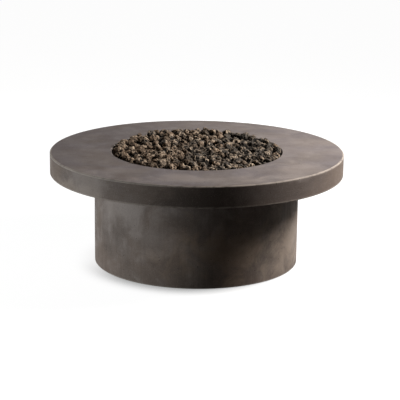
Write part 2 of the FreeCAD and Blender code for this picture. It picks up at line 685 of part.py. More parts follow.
def control_plate():
    plate = rolled(PLATE_FACE, PLATE_BACK, CONTROL_LOW, CONTROL_HIGH, "control_half_angle")
    beyond = f"({PLATE_FACE} + 1)"
    return cut(plate,
               rod("neck_diameter / 2 + running_gap", DRUM_INSIDE, beyond, z="knob_height"),
               rod("igniter_diameter / 2 + running_gap", DRUM_INSIDE, beyond, z=IGNITER_HEIGHT),
               *control_screw_holes())


def control_screws():
    return group(*[screw(height) for height in CONTROL_SCREW_HEIGHTS])


def panel_nuts():
    """The nuts that hold the valve and the igniter to the plate."""
    face = f"({PLATE_FACE} + seal_gap)"
    nuts = []
    for thread, flats, height in (("neck_diameter", "panel_nut_flats", "knob_height"),
                                  ("igniter_diameter", "igniter_nut_flats", IGNITER_HEIGHT)):
        nuts.append(cut(hexagon(flats, face, f"{face} + panel_nut_thickness", height),
                        rod(f"{thread} / 2", DRUM, f"{face} + panel_nut_thickness + 1", z=height)))
    return group(*nuts)


# Push-button igniter, its lead, and the electrode beside a burner arm
IGNITER_FACE = f"({PLATE_FACE} + seal_gap + panel_nut_thickness + igniter_rim)"
IGNITER_BACK = f"({PLATE_BACK} - igniter_depth)"
LEAD_START = "(igniter_diameter / 2 + terminal_stand)"
# Points of the lead: bend lengths sideways, then shares of its way inwards and upwards
LEAD_SWING = ((1.70, 0.07, 0.03), (1.80, 0.18, 0.10), (1.50, 0.34, 0.20), (1.25, 0.53, 0.29),
              (1.00, 0.73, 0.39), (0.67, 0.90, 0.53))


def igniter_body():
    barrel = rod("igniter_diameter / 2", IGNITER_BACK, IGNITER_FACE, z=IGNITER_HEIGHT)
    terminal = crossbar("lead_diameter / 2 + terminal_wall", "0", LEAD_START,
                        f"{IGNITER_BACK} + terminal_inset", IGNITER_HEIGHT)
    bore = rod("button_diameter / 2 + running_gap", f"{IGNITER_FACE} - button_travel - button_seat",
               f"{IGNITER_FACE} + 1", z=IGNITER_HEIGHT)
    return cut(fuse(barrel, terminal), bore)


def igniter_button():
    back = f"({IGNITER_FACE} - button_depth)"
    front = f"({IGNITER_FACE} + button_stand)"
    return lathe(IGNITER_HEIGHT, [
        (back, "0"),
        (back, "button_diameter / 2"),
        (f"{front} - button_round", "button_diameter / 2"),
        (front, "button_diameter / 2 - button_round"),
        (front, "0")])


ELECTRODE_LOW = f"({PAN_FLOOR} - sheet_thickness - electrode_drop)"
ELECTRODE_HIGH = f"({ELECTRODE_LOW} + electrode_length)"


def electrode():
    """A ceramic rod with a collar on the pan's floor and a wire tip."""
    shank_high = f"({ELECTRODE_HIGH} - electrode_tip)"
    collar = upright("electrode_diameter / 2 + electrode_collar", PAN_FLOOR,
                     f"{PAN_FLOOR} + electrode_collar", "electrode_side", "electrode_out")
    shank = upright("electrode_diameter / 2", ELECTRODE_LOW, shank_high, "electrode_side",
                    "electrode_out")
    tip = upright("lead_diameter / 2", f"{shank_high} - 1", f"{LEDGE} + sheet_thickness - 1",
                  "electrode_side", "electrode_out")
    return fuse(collar, shank, tip)


def igniter_lead():
    """The lead leaves the terminal sideways, swings round behind the plate and rises to the electrode."""
    side, out = value("electrode_side"), value("electrode_out")
    aside, start = value(LEAD_START), value(f"{IGNITER_BACK} + terminal_inset")
    height, top = value(IGNITER_HEIGHT), value(ELECTRODE_LOW)
    rise, span, loop = top - height, start - out, 6 * value("lead_diameter")
    points = [(aside, start, height), (aside + loop, start, height)]
    for sideways, inwards, upwards in LEAD_SWING:
        points.append((aside + sideways * loop, start - inwards * span, height + upwards * rise))
    points += [(side, out, height + 0.75 * rise), (side, out, top)]
    return routed(points, "lead_diameter", "igniter_lead")


# Gas inlet through the wall, elbow, shut-off valve with its lever, and riser to the gas valve
INLET_MOUTH = f"({PLATE_FACE} + inlet_depth - inlet_set_back)"
INLET_BACK = "(train_out + inlet_tail)"
PASSAGE = "(pipe_bore / 2 - pipe_step)"


def gas_inlet():
    flange_back = f"({DRUM} + seal_gap)"
    flange_face = f"({flange_back} + inlet_flange_thickness)"
    return lathe("inlet_height", [
        (INLET_BACK, PASSAGE),
        (INLET_BACK, "inlet_neck_diameter / 2"),
        (flange_back, "inlet_neck_diameter / 2"),
        (flange_back, "inlet_flange_diameter / 2"),
        (flange_face, "inlet_flange_diameter / 2"),
        (flange_face, "inlet_boss_diameter / 2"),
        (INLET_MOUTH, "inlet_boss_diameter / 2"),
        (INLET_MOUTH, "inlet_bore / 2"),
        (f"{INLET_MOUTH} - inlet_depth", "inlet_bore / 2"),
        (f"{INLET_MOUTH} - inlet_depth - inlet_cone", PASSAGE)])


def inlet_elbow():
    radius = "(train_diameter / 2)"
    solid = fuse(rod(radius, f"train_out - {radius}", INLET_BACK, z="inlet_height"),
                 upright(radius, f"inlet_height - {radius} - pipe_step", "shutoff_low", y="train_out"))
    passage = fuse(rod(PASSAGE, "train_out", f"{INLET_BACK} + 1", z="inlet_height"),
                   upright(PASSAGE, f"inlet_height - {PASSAGE}", "shutoff_low + 1", y="train_out"))
    return cut(solid, passage)


LEVER_HEIGHT = "((shutoff_low + shutoff_high) / 2)"
SPINDLE_END = "(-shutoff_bulge / 2 - spindle_stand)"
BOSS_END = f"({SPINDLE_END} + spindle_nose)"


def shutoff_valve():
    """The valve's body stands on the elbow; its spindle boss faces the access door."""
    column = upright("shutoff_diameter / 2", "shutoff_low", "shutoff_high", y="train_out")
    bulge = upright("shutoff_bulge / 2", f"{LEVER_HEIGHT} - train_diameter / 2",
                    f"{LEVER_HEIGHT} + train_diameter / 2", y="train_out")
    boss = crossbar("spindle_boss / 2", BOSS_END, "0", "train_out", LEVER_HEIGHT)
    hole = crossbar("spindle_diameter / 2 + running_gap", f"{BOSS_END} - 1",
                    "-shutoff_bulge / 2 + spindle_depth", "train_out", LEVER_HEIGHT)
    return cut(fuse(column, bulge, boss), hole)


def shutoff_lever():
    """A flat lever along the pipe when the gas is on, with a spindle into the valve."""
    low_end = f"({LEVER_HEIGHT} - lever_width / 2)"
    plate = block("lever_thickness", "train_out - lever_width / 2", "train_out + lever_width / 2",
                  low_end, f"{low_end} + lever_length", x=f"{BOSS_END} - stop_gap - lever_thickness / 2")
    spindle = crossbar("spindle_diameter / 2", SPINDLE_END, "-shutoff_bulge / 2 + spindle_depth - 1",
                       "train_out", LEVER_HEIGHT)
    nut = crossbar("lever_nut_diameter / 2", f"{SPINDLE_END} - 1", f"{SPINDLE_END} + 1", "train_out",
                   LEVER_HEIGHT)
    return fuse(plate, spindle, nut)


def gas_riser():
    high = f"({VALVE_LOW} - riser_socket)"
    return cut(upright("riser_diameter / 2", "shutoff_high", high, y="train_out"),
               upright("riser_diameter / 2 - riser_wall", "shutoff_high - 1", f"{high} + 1", y="train_out"))


# Access door of rolled sheet in its frame, with louvres, hinge and quarter-turn latch
FRAME_SCREW_HEIGHTS = ("door_low - frame_lap / 2 - screw_inset", "door_high + frame_lap / 2 + screw_inset")


def at_frame_corners(maker):
    """A screw or a hole at each corner of the door's frame."""
    return [turned_with(f"{side} * (door_half_angle + frame_lap_angle / 2)", maker(height))
            for side in (-1, 1) for height in FRAME_SCREW_HEIGHTS]


def door_frame():
    low, high = "(door_low - frame_wall + stop_gap)", "(door_high + frame_wall - stop_gap)"
    sleeve = rolled(PLATE_FACE, f"{DOOR_FACE} - frame_depth", low, high,
                    "door_half_angle + frame_wall_angle - frame_fit_angle")
    flange = rolled(PLATE_FACE, PLATE_BACK, "door_low - frame_lap", "door_high + frame_lap",
                    "door_half_angle + frame_lap_angle")
    window = wedge(f"{DRUM} + wall_reach", "door_low", "door_high", "door_half_angle")
    return cut(fuse(sleeve, flange), window, *at_frame_corners(screw_hole))


def frame_screws():
    return group(*at_frame_corners(screw))


def access_door():
    inner = f"({DOOR_FACE} - door_return)"
    plate_back = f"({DOOR_FACE} - plate_thickness)"
    half = "(door_half_angle - door_gap_angle)"
    low, high = "(door_low + door_gap)", "(door_high - door_gap)"
    tray = rolled(DOOR_FACE, inner, low, high, half)
    hollow = wedge(plate_back, f"{low} + plate_thickness", f"{high} - plate_thickness",
                   f"{half} - plate_thickness / {DRUM} * 180 / pi")
    shaft_hole = turned_with("-latch_angle", rod(
        "latch_shaft_diameter / 2 + running_gap", f"{inner} - 1", f"{DOOR_FACE} + 1",
        z="(door_low + door_high) / 2"))
    brow = f"({DOOR_FACE} + louvre_throw)"
    hoods, slots = [], []
    for k in range(int(value("louvre_count"))):
        middle = f"((door_low + door_high) / 2 + ({k} - (louvre_count - 1) / 2) * louvre_pitch)"
        slot_low, slot_high = f"({middle} - louvre_height / 2)", f"({middle} + louvre_height / 2)"
        hood = spun([(f"{DOOR_FACE} - louvre_root", slot_low),
                     (brow, slot_low),
                     (brow, f"{slot_low} + louvre_lip"),
                     (f"{DOOR_FACE} - louvre_root", f"{slot_high} + louvre_brow")],
                    "2 * louvre_half_angle")
        hoods.append(turned_with("90 - louvre_half_angle", hood))
        opening = spun([(f"{inner} - 1", slot_low),
                        (f"{brow} - louvre_sheet", slot_low),
                        (f"{brow} - louvre_sheet", f"{slot_low} + louvre_root"),
                        (f"{DOOR_FACE} - louvre_sheet", slot_high),
                        (f"{inner} - 1", slot_high)], "2 * (louvre_half_angle - louvre_end_angle)")
        slots.append(turned_with("90 - louvre_half_angle + louvre_end_angle", opening))
    return cut(fuse(cut(tray, hollow), *hoods), shaft_hole, *slots)


HINGE_LOW = "((door_low + door_high) / 2 - hinge_length / 2)"
KNUCKLE = "(hinge_length / knuckle_count)"


def hinge_leaf(side, knuckles):
    """A leaf beside the pin with its knuckles; side is -1 for the frame's leaf, 1 for the door's."""
    solids = []
    reach = f"({HINGE_AXIS} - hinge_diameter / 2)"
    leaf = block("hinge_leaf_width", reach, f"{reach} + hinge_leaf_thickness", HINGE_LOW,
                 f"{HINGE_LOW} + hinge_length", x=f"{side} * (hinge_leaf_width + hinge_tab) / 2")
    clear = []
    for k in range(int(value("knuckle_count"))):
        low, high = f"({HINGE_LOW} + {k} * {KNUCKLE})", f"({HINGE_LOW} + {k + 1} * {KNUCKLE})"
        if k in knuckles:
            solids.append(upright("hinge_diameter / 2", f"{low} + stop_gap / 2", f"{high} - stop_gap / 2",
                                  y=HINGE_AXIS))
            solids.append(block("hinge_tab", reach, f"{reach} + hinge_leaf_thickness",
                                f"{low} + stop_gap / 2", f"{high} - stop_gap / 2",
                                x=f"{side} * hinge_tab / 2"))
        else:
            clear.append(upright("hinge_diameter / 2 + stop_gap", low, high, y=HINGE_AXIS))
    bore = upright("hinge_pin_diameter / 2 + running_gap / 2", f"{HINGE_LOW} - 1",
                   f"{HINGE_LOW} + hinge_length + 1", y=HINGE_AXIS)
    return turn(cut(fuse(leaf, *solids), bore, *clear), f"door_turn + {HINGE_ANGLE}")


def hinge_pin():
    pin = upright("hinge_pin_diameter / 2", f"{HINGE_LOW} - 1", f"{HINGE_LOW} + hinge_length + 1",
                  y=HINGE_AXIS)
    head = upright("hinge_diameter / 2", f"{HINGE_LOW} + hinge_length + stop_gap",
                   f"{HINGE_LOW} + hinge_length + hinge_head", y=HINGE_AXIS)
    return turn(fuse(pin, head), f"door_turn + {HINGE_ANGLE}")


CAM_FRONT = f"({DOOR_FACE} - frame_depth - cam_gap)"


def door_latch():
    middle = "((door_low + door_high) / 2)"
    seat = f"({DOOR_FACE} + latch_seat)"
    face = f"({DOOR_FACE} + latch_face)"
    head = lathe(middle, [
        (CAM_FRONT, "0"),
        (CAM_FRONT, "latch_shaft_diameter / 2"),
        (seat, "latch_shaft_diameter / 2"),
        (seat, "latch_head_diameter / 2"),
        (f"{face} - latch_round", "latch_head_diameter / 2"),
        (face, "latch_head_diameter / 2 - latch_round"),
        (face, "0")])
    wing = block("wing_width", f"{face} - 1", f"{face} + wing_rise",
                 f"{middle} - latch_head_diameter / 2 + wing_inset",
                 f"{middle} + latch_head_diameter / 2 - wing_inset")
    return turn(fuse(head, wing), "door_turn - latch_angle")


def latch_cam():
    """The arm behind the door, shown upright, clear of the frame."""
    middle = "((door_low + door_high) / 2)"
    arm = block("cam_width", f"{CAM_FRONT} - cam_thickness", CAM_FRONT, f"{middle} - cam_length",
                f"{middle} + cam_width / 2")
    return turned_with("door_turn - latch_angle", arm)


# Lava rock: a blunt stone in each cell of a shaken hexagon grid, in two courses
CELL_NEIGHBOURS = ((1, 0), (0, 1), (-1, 1), (-1, 0), (0, -1), (1, -1))
WALL_SHARE = 0.42
SHOULDER_REACH = (0.62, 0.86)
SHOULDER_DROP = (0.10, 0.34)
NEIGHBOUR_SHARE = 0.5
LONE_SHARE = 0.9
WAIST_LIFT = 0.16
UNDER_WAIST = 0.45
FITTING_REACH = 0.55


def height(z):
    return FreeCAD.Vector(0, 0, z)


def rock_centre(i, j, pitch):
    """Middle of a cell, the same for every stone that touches it."""
    dice = random.Random(1000 * i + j)
    shake = [value("rock_jitter") * pitch * (dice.random() - 0.5) for _ in range(2)]
    return FreeCAD.Vector(pitch * (i + j / 2) + shake[0], pitch * j * math.sqrt(3) / 2 + shake[1], 0)


def holds_stone(centre, pitch, wall):
    """True where a cell lies far enough inside a round wall to hold a stone."""
    return math.hypot(centre.x, centre.y) + WALL_SHARE * pitch < wall


def room_to_wall(centre, towards, wall):
    """Distance from a point to a round wall in a level direction."""
    along = centre.x * towards.x + centre.y * towards.y
    return -along + math.sqrt(along ** 2 + wall ** 2 - centre.x ** 2 - centre.y ** 2)


def stone(i, j, pitch, low, high, waist, wall):
    """A stone whose waist meets its neighbours half way, or reaches for the wall where it has none."""
    dice = random.Random(7919 * i + 31 * j)
    centre = rock_centre(i, j, pitch)
    ring = []
    shoulder = []
    for step in CELL_NEIGHBOURS:
        beside = rock_centre(i + step[0], j + step[1], pitch)
        towards = (beside - centre).normalize()
        share = NEIGHBOUR_SHARE if holds_stone(beside, pitch, wall) else LONE_SHARE
        reach = min((beside - centre).Length * share - value("rock_gap") / 2,
                    room_to_wall(centre, towards, wall))
        meeting = centre + towards * reach
        lift = WAIST_LIFT * (high - low) * math.sin(2.1 * (2 * i + step[0]) + 1.3 * (2 * j + step[1]))
        ring.append(meeting + height(waist((centre + beside) * 0.5) + lift))
        drop = (high - ring[-1].z) * dice.uniform(*SHOULDER_DROP)
        shoulder.append(centre + towards * reach * dice.uniform(*SHOULDER_REACH) + height(high - drop))
    return stone_solid(centre + height(low), ring, shoulder, centre + height(high))


def stone_solid(bottom, ring, shoulder, crown):
    """Close the faces of a stone: a fan below the waist, a band above it, and a blunt cap."""
    faces = []
    for k in range(len(ring)):
        after = (k + 1) % len(ring)
        faces.append((ring[after], ring[k], bottom))
        faces.append((ring[k], ring[after], shoulder[k]))
        faces.append((ring[after], shoulder[after], shoulder[k]))
        faces.append((shoulder[k], shoulder[after], crown))
    shell = Part.Shell([Part.Face(Part.makePolygon([*face, face[0]])) for face in faces])
    solid = Part.Solid(shell)
    if solid.Volume < 0:
        solid.reverse()
    return solid


def from_electrode(point):
    """Level distance from a point of the bed to the electrode."""
    turned = FreeCAD.Rotation(FreeCAD.Vector(0, 0, 1), -value("control_turn")).multVec(point)
    return math.hypot(turned.x - value("electrode_side"), turned.y - value("electrode_out"))


def misses_fittings(point, reach):
    """True where a stone of this reach on the pan's floor misses the pipe's nut and the electrode."""
    nut = math.hypot(point.x, point.y) - value("nut_flats") / math.sqrt(3)
    collar = from_electrode(point) - value("electrode_diameter / 2 + electrode_collar")
    return min(nut, collar) > reach + value("rock_gap")


def over_hub(point, pitch):
    """True where a stone of this pitch stands over the burner's hub or the electrode."""
    near_hub = math.hypot(point.x, point.y) < value("hub_diameter") / 2 + FITTING_REACH * pitch
    return near_hub or from_electrode(point) < FITTING_REACH * pitch + value("lead_diameter") / 2


def over_arm(point, pitch):
    """True where a stone of this pitch stands over one of the burner's tubes."""
    margin = value("arm_diameter") / 2 + FITTING_REACH * pitch
    for angle in arm_angles():
        heading = math.radians(90 + value(angle))
        along = point.x * math.cos(heading) + point.y * math.sin(heading)
        across = abs(-point.x * math.sin(heading) + point.y * math.cos(heading))
        if -margin < along < value("arm_length") + margin and across < margin:
            return True
    return False


def course(pitch, wall, waist, ends):
    """A stone for each cell inside the wall, where ends gives it a lowest and a highest level."""
    span = int(wall / pitch) + 3
    stones = []
    for i in range(-span, span + 1):
        for j in range(-span, span + 1):
            centre = rock_centre(i, j, pitch)
            if holds_stone(centre, pitch, wall) and ends(centre, pitch, random.Random(i - 53 * j)):
                low, high = ends(centre, pitch, random.Random(i - 53 * j))
                stones.append(stone(i, j, pitch, low, high, waist, wall))
    return stones


def lava_rocks():
    gap = value("rock_gap")
    wall = value(OPENING) - gap
    pan_wall = value(PAN_WALL) - value("sheet_thickness") - value("pan_taper") - gap
    arm_top, arm_low = value(f"{ARM_AXIS} + arm_diameter / 2"), value(f"{ARM_AXIS} - arm_diameter / 2")
    meeting, flange, floor = value(ARM_AXIS), value(f"{LEDGE} + sheet_thickness"), value(PAN_FLOOR)
    hub_top, hub_low = value(HUB_TOP), value(HUB_LOW)

    def bed(point):
        """The top of the bed, a low mound above the table."""
        away = math.hypot(point.x, point.y) / wall
        return value("table_height") + value("rock_rise") + value("rock_mound") * (1 - min(away, 1) ** 2)

    def upper_ends(centre, pitch, dice):
        high = bed(centre) - value("rock_unevenness") * dice.random()
        if not holds_stone(centre, pitch, pan_wall):
            return flange + gap, high
        if over_hub(centre, pitch):
            return hub_top + gap, high
        return (arm_top + gap if over_arm(centre, pitch) else meeting + gap / 2), high

    def lower_ends(centre, pitch, dice):
        if not misses_fittings(centre, pitch / 2):
            return None
        if over_hub(centre, pitch):
            return floor + gap, hub_low - gap
        return floor + gap, (arm_low - gap if over_arm(centre, pitch) else meeting - gap / 2)

    stones = course(value("rock_pitch"), wall, lambda point: (flange + bed(point)) / 2, upper_ends)
    stones += course(value("under_rock_pitch"), pan_wall,
                     lambda point: floor + UNDER_WAIST * (hub_low - floor), lower_ends)
    print("stones", len(stones))
    item = doc.addObject("Part::Feature", "Stones")
    item.Shape = Part.Compound(stones)
    return item


# The table
keep("table_top", table_top())
keep("base_drum", base_drum())
keep("bearing_pads", bearing_pads())
for number in range(4):
    keep(f"levelling_foot_{number + 1}", levelling_foot(45 + 90 * number))
keep("foot_inserts", foot_inserts())

# The fire
keep("burner_pan", burner_pan())
keep("burner", burner())
keep("burner_pipe", burner_pipe())
keep("pan_nuts", pan_nuts())
keep("electrode", turned_with("control_turn", electrode()))
keep("lava_rocks", lava_rocks())

# The gas train
for name, maker in (
        ("elbow", elbow), ("air_mixer", air_mixer), ("air_shutter", air_shutter), ("gas_jet", gas_jet),
        ("hose_nuts", hose_nuts), ("gas_valve", gas_valve), ("stem_collar", stem_collar),
        ("valve_stem", valve_stem), ("control_knob", control_knob), ("control_plate", control_plate),
        ("control_screws", control_screws), ("panel_nuts", panel_nuts), ("igniter_body", igniter_body),
        ("igniter_button", igniter_button), ("gas_inlet", gas_inlet), ("inlet_elbow", inlet_elbow),
        ("shutoff_valve", shutoff_valve), ("shutoff_lever", shutoff_lever), ("gas_riser", gas_riser)):
    keep(name, turned_with("control_turn", maker()))
keep("gas_hose", gas_hose())
keep("igniter_lead", igniter_lead())

# The access door
for name, maker in (("door_frame", door_frame), ("frame_screws", frame_screws),
                    ("access_door", access_door)):
    keep(name, turned_with("door_turn", maker()))
keep("hinge_leaf_frame", hinge_leaf(-1, (0, 2, 4)))
keep("hinge_leaf_door", hinge_leaf(1, (1, 3)))
keep("hinge_pin", hinge_pin())
keep("door_latch", door_latch())
keep("latch_cam", latch_cam())

doc.recompute()
for item in doc.Objects:
    if "Invalid" in item.State or "Error" in item.State:
        raise RuntimeError(f"{item.Label} failed: {item.State}")
for name, item in nodes.items():
    if item.Shape.isNull() or not item.Shape.isValid() or not item.Shape.Solids:
        raise RuntimeError(f"{name} has no valid solid")
for name, item in nodes.items():
    item.Shape.exportStep(f"parts/{name}.step")
print(len(nodes), "nodes")
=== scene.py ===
# %% [markdown]
# # A round fire pit table in cast concrete
#
# This lesson dresses a fire pit table: a thick round concrete top, a round concrete drum under it, and a
# bed of lava rock in the middle. The construction is already done and is loaded as a fixed frame, so the
# lesson adds finishes to its pieces and models what the frame leaves plain: the stones and the marks on
# the controls. Everything is in metres. The front of the table faces -Y.

# %% Load the frame
import math

import bpy
import numpy as np
from mathutils import Matrix, Vector


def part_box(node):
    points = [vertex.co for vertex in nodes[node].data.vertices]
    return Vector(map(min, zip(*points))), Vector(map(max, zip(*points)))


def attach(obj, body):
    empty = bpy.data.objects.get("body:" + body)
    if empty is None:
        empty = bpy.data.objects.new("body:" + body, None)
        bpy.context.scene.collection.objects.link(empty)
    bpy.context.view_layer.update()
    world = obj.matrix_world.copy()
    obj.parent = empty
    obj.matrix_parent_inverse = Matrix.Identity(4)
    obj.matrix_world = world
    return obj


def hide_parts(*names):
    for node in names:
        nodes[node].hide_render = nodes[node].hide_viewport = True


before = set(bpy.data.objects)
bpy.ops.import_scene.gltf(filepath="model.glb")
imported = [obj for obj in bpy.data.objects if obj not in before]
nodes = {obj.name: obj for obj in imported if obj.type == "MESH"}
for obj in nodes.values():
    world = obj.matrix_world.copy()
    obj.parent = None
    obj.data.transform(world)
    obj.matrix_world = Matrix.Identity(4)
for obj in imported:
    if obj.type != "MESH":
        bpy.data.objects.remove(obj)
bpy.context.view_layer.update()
bpy.ops.object.select_all(action="DESELECT")

# %% [markdown]
# ## The sizes that the finishes need
#
# A concrete surface looks different at its edge, on its flat and on its sides, so the finishes have to
# know where the edges are. Typing those numbers again would let them drift from the pieces. Reading them
# from the boxes of the loaded pieces keeps the finish on the piece. Only the opening has no box of its
# own, so its radius is typed.

# %% Sizes read from the pieces
top_low, top_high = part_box("table_top")
drum_low, drum_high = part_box("base_drum")
stones_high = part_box("lava_rocks")[1]
TOP_RADIUS = (top_high.x - top_low.x) / 2
TOP_HEIGHT = top_high.z
APRON_LOW = top_low.z
DRUM_RADIUS = (drum_high.x - drum_low.x) / 2
OPENING_RADIUS = 0.310
print("top", round(TOP_RADIUS, 4), "drum", round(DRUM_RADIUS, 4), "height", round(TOP_HEIGHT, 4))

# %% [markdown]
# ## The camera
#
# The photograph was taken with a long lens from about five metres, looking down by fifteen degrees, with
# the camera about half a degree off level. A long lens matters: a wide one would make the near edge of
# the top look much bigger than the far edge. The small shift puts the table where it stands in the
# frame.

# %% Camera
CAMERA_DISTANCE = 5.303
CAMERA_TILT = math.radians(15.08)
CAMERA_ROLL = math.radians(0.616)
CAMERA_LENS = 129.7
CAMERA_SHIFT = (0.0094, 0.0117)

aim = Vector((0, 0, TOP_HEIGHT / 2))
away = Vector((0, -math.cos(CAMERA_TILT), math.sin(CAMERA_TILT)))
camera_data = bpy.data.cameras.new("camera")
camera = bpy.data.objects.new("camera", camera_data)
bpy.context.scene.collection.objects.link(camera)
camera_data.lens = CAMERA_LENS
camera_data.shift_x, camera_data.shift_y = CAMERA_SHIFT
camera.matrix_world = (Matrix.Translation(aim + away * CAMERA_DISTANCE)
                       @ away.to_track_quat("Z", "Y").to_matrix().to_4x4()
                       @ Matrix.Rotation(CAMERA_ROLL, 4, "Z"))
bpy.context.scene.camera = camera

# %% [markdown]
# ## The hose and the lead
#
# A braided hose carries the gas from the valve to the jet, and a thin rubber lead carries the spark from
# the igniter to the electrode. Both are stiff enough to leave their ends straight and then bend on one
# smooth line. A tube swept along straight runs looks like bent wire, so each is a smooth curve that is
# only guided by the points of its route.

# %% Hose and lead
HOSE_DIAMETER = 0.010
HOSE_ROUTE = [(0.08163, 0.09066, 0.294), (0.10703, 0.11887, 0.294), (0.13023, 0.14016, 0.27425),
              (0.14864, 0.15911, 0.23475), (0.16665, 0.18508, 0.215), (0.19204, 0.21328, 0.215)]
LEAD_DIAMETER = 0.003
LEAD_ROUTE = [(0.2431, 0.24159, 0.165), (0.25647, 0.22955, 0.165), (0.25332, 0.20722, 0.16962),
              (0.23499, 0.18417, 0.1804), (0.20237, 0.15601, 0.1958), (0.16506, 0.12129, 0.20966),
              (0.12595, 0.08459, 0.22506), (0.09115, 0.05481, 0.24662), (0.06951, 0.03834, 0.2805),
              (0.06951, 0.03834, 0.319)]


def cord_curve(name, route, diameter):
    """A round cord on one smooth line guided by the route's points.

    Its points have the cord's radius and the bevel is 1, because Blender widens the curve's box by a
    point's radius, which is 1 m where nothing sets it.
    """
    data = bpy.data.curves.new(name, "CURVE")
    data.dimensions = "3D"
    spline = data.splines.new("NURBS")
    spline.points.add(len(route) - 1)
    for point, place in zip(spline.points, route):
        point.co = (*place, 1)
        point.radius = diameter / 2
    spline.order_u = 3
    spline.use_endpoint_u = True
    data.resolution_u = 12
    data.bevel_depth = 1
    data.bevel_resolution = 5
    data.use_fill_caps = True
    item = bpy.data.objects.new(name, data)
    bpy.context.scene.collection.objects.link(item)
    return item


braided_hose = cord_curve("braided_hose", HOSE_ROUTE, HOSE_DIAMETER)
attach(braided_hose, "base")
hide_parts("gas_hose")
spark_lead = cord_curve("spark_lead", LEAD_ROUTE, LEAD_DIAMETER)
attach(spark_lead, "base")
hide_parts("igniter_lead")

# %% [markdown]
# ## The floor and the light
#
# The table stands on white paper that fades into a white background. One way is to turn the lights up
# until the paper burns out, but then the dark concrete burns too. Here the paper glows only for the
# camera: for the light that bounces it is dark grey, and the shadow still shows. The shadow lies where
# little of the room is seen from the paper, so it hugs the drum. A lamp high at the right lights the
# top, and a low one at the left lights the sides. A low one at the back lights the rear, which the
# photograph doesn't show.

# %% Small helpers for shader nodes
def new_material(name):
    """A new material, its node tree and its Principled shader."""
    material = bpy.data.materials.new(name)
    material.use_nodes = True
    tree = material.node_tree
    return material, tree, tree.nodes["Principled BSDF"]


def add(tree, kind, **settings):
    """Add a node; settings named like an input fill that input, the others are attributes."""
    node = tree.nodes.new(kind)
    for key, setting in settings.items():
        name = key.replace("_", " ")
        if name in node.inputs:
            node.inputs[name].default_value = setting
        else:
            setattr(node, key, setting)
    return node


def link(tree, out, into):
    tree.links.new(out, into)


def math_node(tree, operation, first, second):
    """One sum; each side is a number or a socket."""
    node = add(tree, "ShaderNodeMath", operation=operation)
    for k, source in enumerate((first, second)):
        if isinstance(source, (int, float)):
            node.inputs[k].default_value = source
        else:
            link(tree, source, node.inputs[k])
    return node.outputs[0]


def ranged(tree, source, low, high, to_low=0.0, to_high=1.0):
    """Map a value from one range to another, held at the ends."""
    node = add(tree, "ShaderNodeMapRange", interpolation_type="SMOOTHSTEP")
    for key, number in (("From Min", low), ("From Max", high), ("To Min", to_low), ("To Max", to_high)):
        node.inputs[key].default_value = number
    link(tree, source, node.inputs["Value"])
    return node.outputs["Result"]


def seen_directly(tree):
    """1 for the camera and for what gloss and glass show, and 0 for light that bounces."""
    path = add(tree, "ShaderNodeLightPath")
    gloss = math_node(tree, "MAXIMUM", path.outputs["Is Camera Ray"], path.outputs["Is Glossy Ray"])
    return math_node(tree, "MAXIMUM", gloss, path.outputs["Is Transmission Ray"])


# %% Floor, background and lamps
FLOOR_SIDES = 96
FLOOR_RADIUS = 9
FLOOR_BOUNCE = 0.08
FLOOR_SEEN = 0.25
FLOOR_GLOW = 0.97
CONTACT_DARK = 0.42
CONTACT_REACH = 0.10
CONTACT_OPEN = (0.45, 1.0)
CONTACT_SAMPLES = 16
CONTACT_FADES_RIGHT = (-0.05, 0.30, 1, 0.4)
CONTACT_FADES_BACK = (-0.30, 0.0, 1, 0.2)
INSIDE_DRUM = 0.02
ROOM_COLOR = (1.0, 0.82, 0.58, 1)
ROOM_STRENGTH = 0.009
LAMP_AIM = Vector((0, 0, 0.3))

bpy.ops.mesh.primitive_circle_add(vertices=FLOOR_SIDES, radius=FLOOR_RADIUS, fill_type="NGON",
                                  location=(0, 0, 0))
floor = bpy.context.active_object
floor.name = "paper_floor"
floor_paint, tree, paper = new_material("white_paper")
paper.inputs["Base Color"].default_value = (FLOOR_BOUNCE, FLOOR_BOUNCE, FLOOR_BOUNCE, 1)
paper.inputs["Roughness"].default_value = 1
paper.inputs["Specular IOR Level"].default_value = 0
white = add(tree, "ShaderNodeBsdfDiffuse", Color=(FLOOR_SEEN, FLOOR_SEEN, FLOOR_SEEN, 1))
glow = add(tree, "ShaderNodeEmission", Color=(1, 1, 1, 1))
near = add(tree, "ShaderNodeAmbientOcclusion", Distance=CONTACT_REACH, samples=CONTACT_SAMPLES)
shadow = ranged(tree, near.outputs["AO"], *CONTACT_OPEN, FLOOR_GLOW - CONTACT_DARK, 0.0)
place = add(tree, "ShaderNodeTexCoord")
split = add(tree, "ShaderNodeSeparateXYZ")
link(tree, place.outputs["Object"], split.inputs[0])
shadow = math_node(tree, "MULTIPLY", shadow, ranged(tree, split.outputs[0], *CONTACT_FADES_RIGHT))
shadow = math_node(tree, "MULTIPLY", shadow, ranged(tree, split.outputs[1], *CONTACT_FADES_BACK))
glowing = math_node(tree, "SUBTRACT", FLOOR_GLOW, shadow)
centre = add(tree, "ShaderNodeVectorMath", operation="LENGTH")
link(tree, place.outputs["Object"], centre.inputs[0])
outside = math_node(tree, "GREATER_THAN", centre.outputs["Value"], DRUM_RADIUS - INSIDE_DRUM)
link(tree, math_node(tree, "MULTIPLY", glowing, outside), glow.inputs["Strength"])
both = add(tree, "ShaderNodeAddShader")
choose = add(tree, "ShaderNodeMixShader")
link(tree, white.outputs[0], both.inputs[0])
link(tree, glow.outputs[0], both.inputs[1])
link(tree, seen_directly(tree), choose.inputs[0])
link(tree, paper.outputs[0], choose.inputs[1])
link(tree, both.outputs[0], choose.inputs[2])
link(tree, choose.outputs[0], tree.nodes["Material Output"].inputs["Surface"])
floor.data.materials.append(floor_paint)

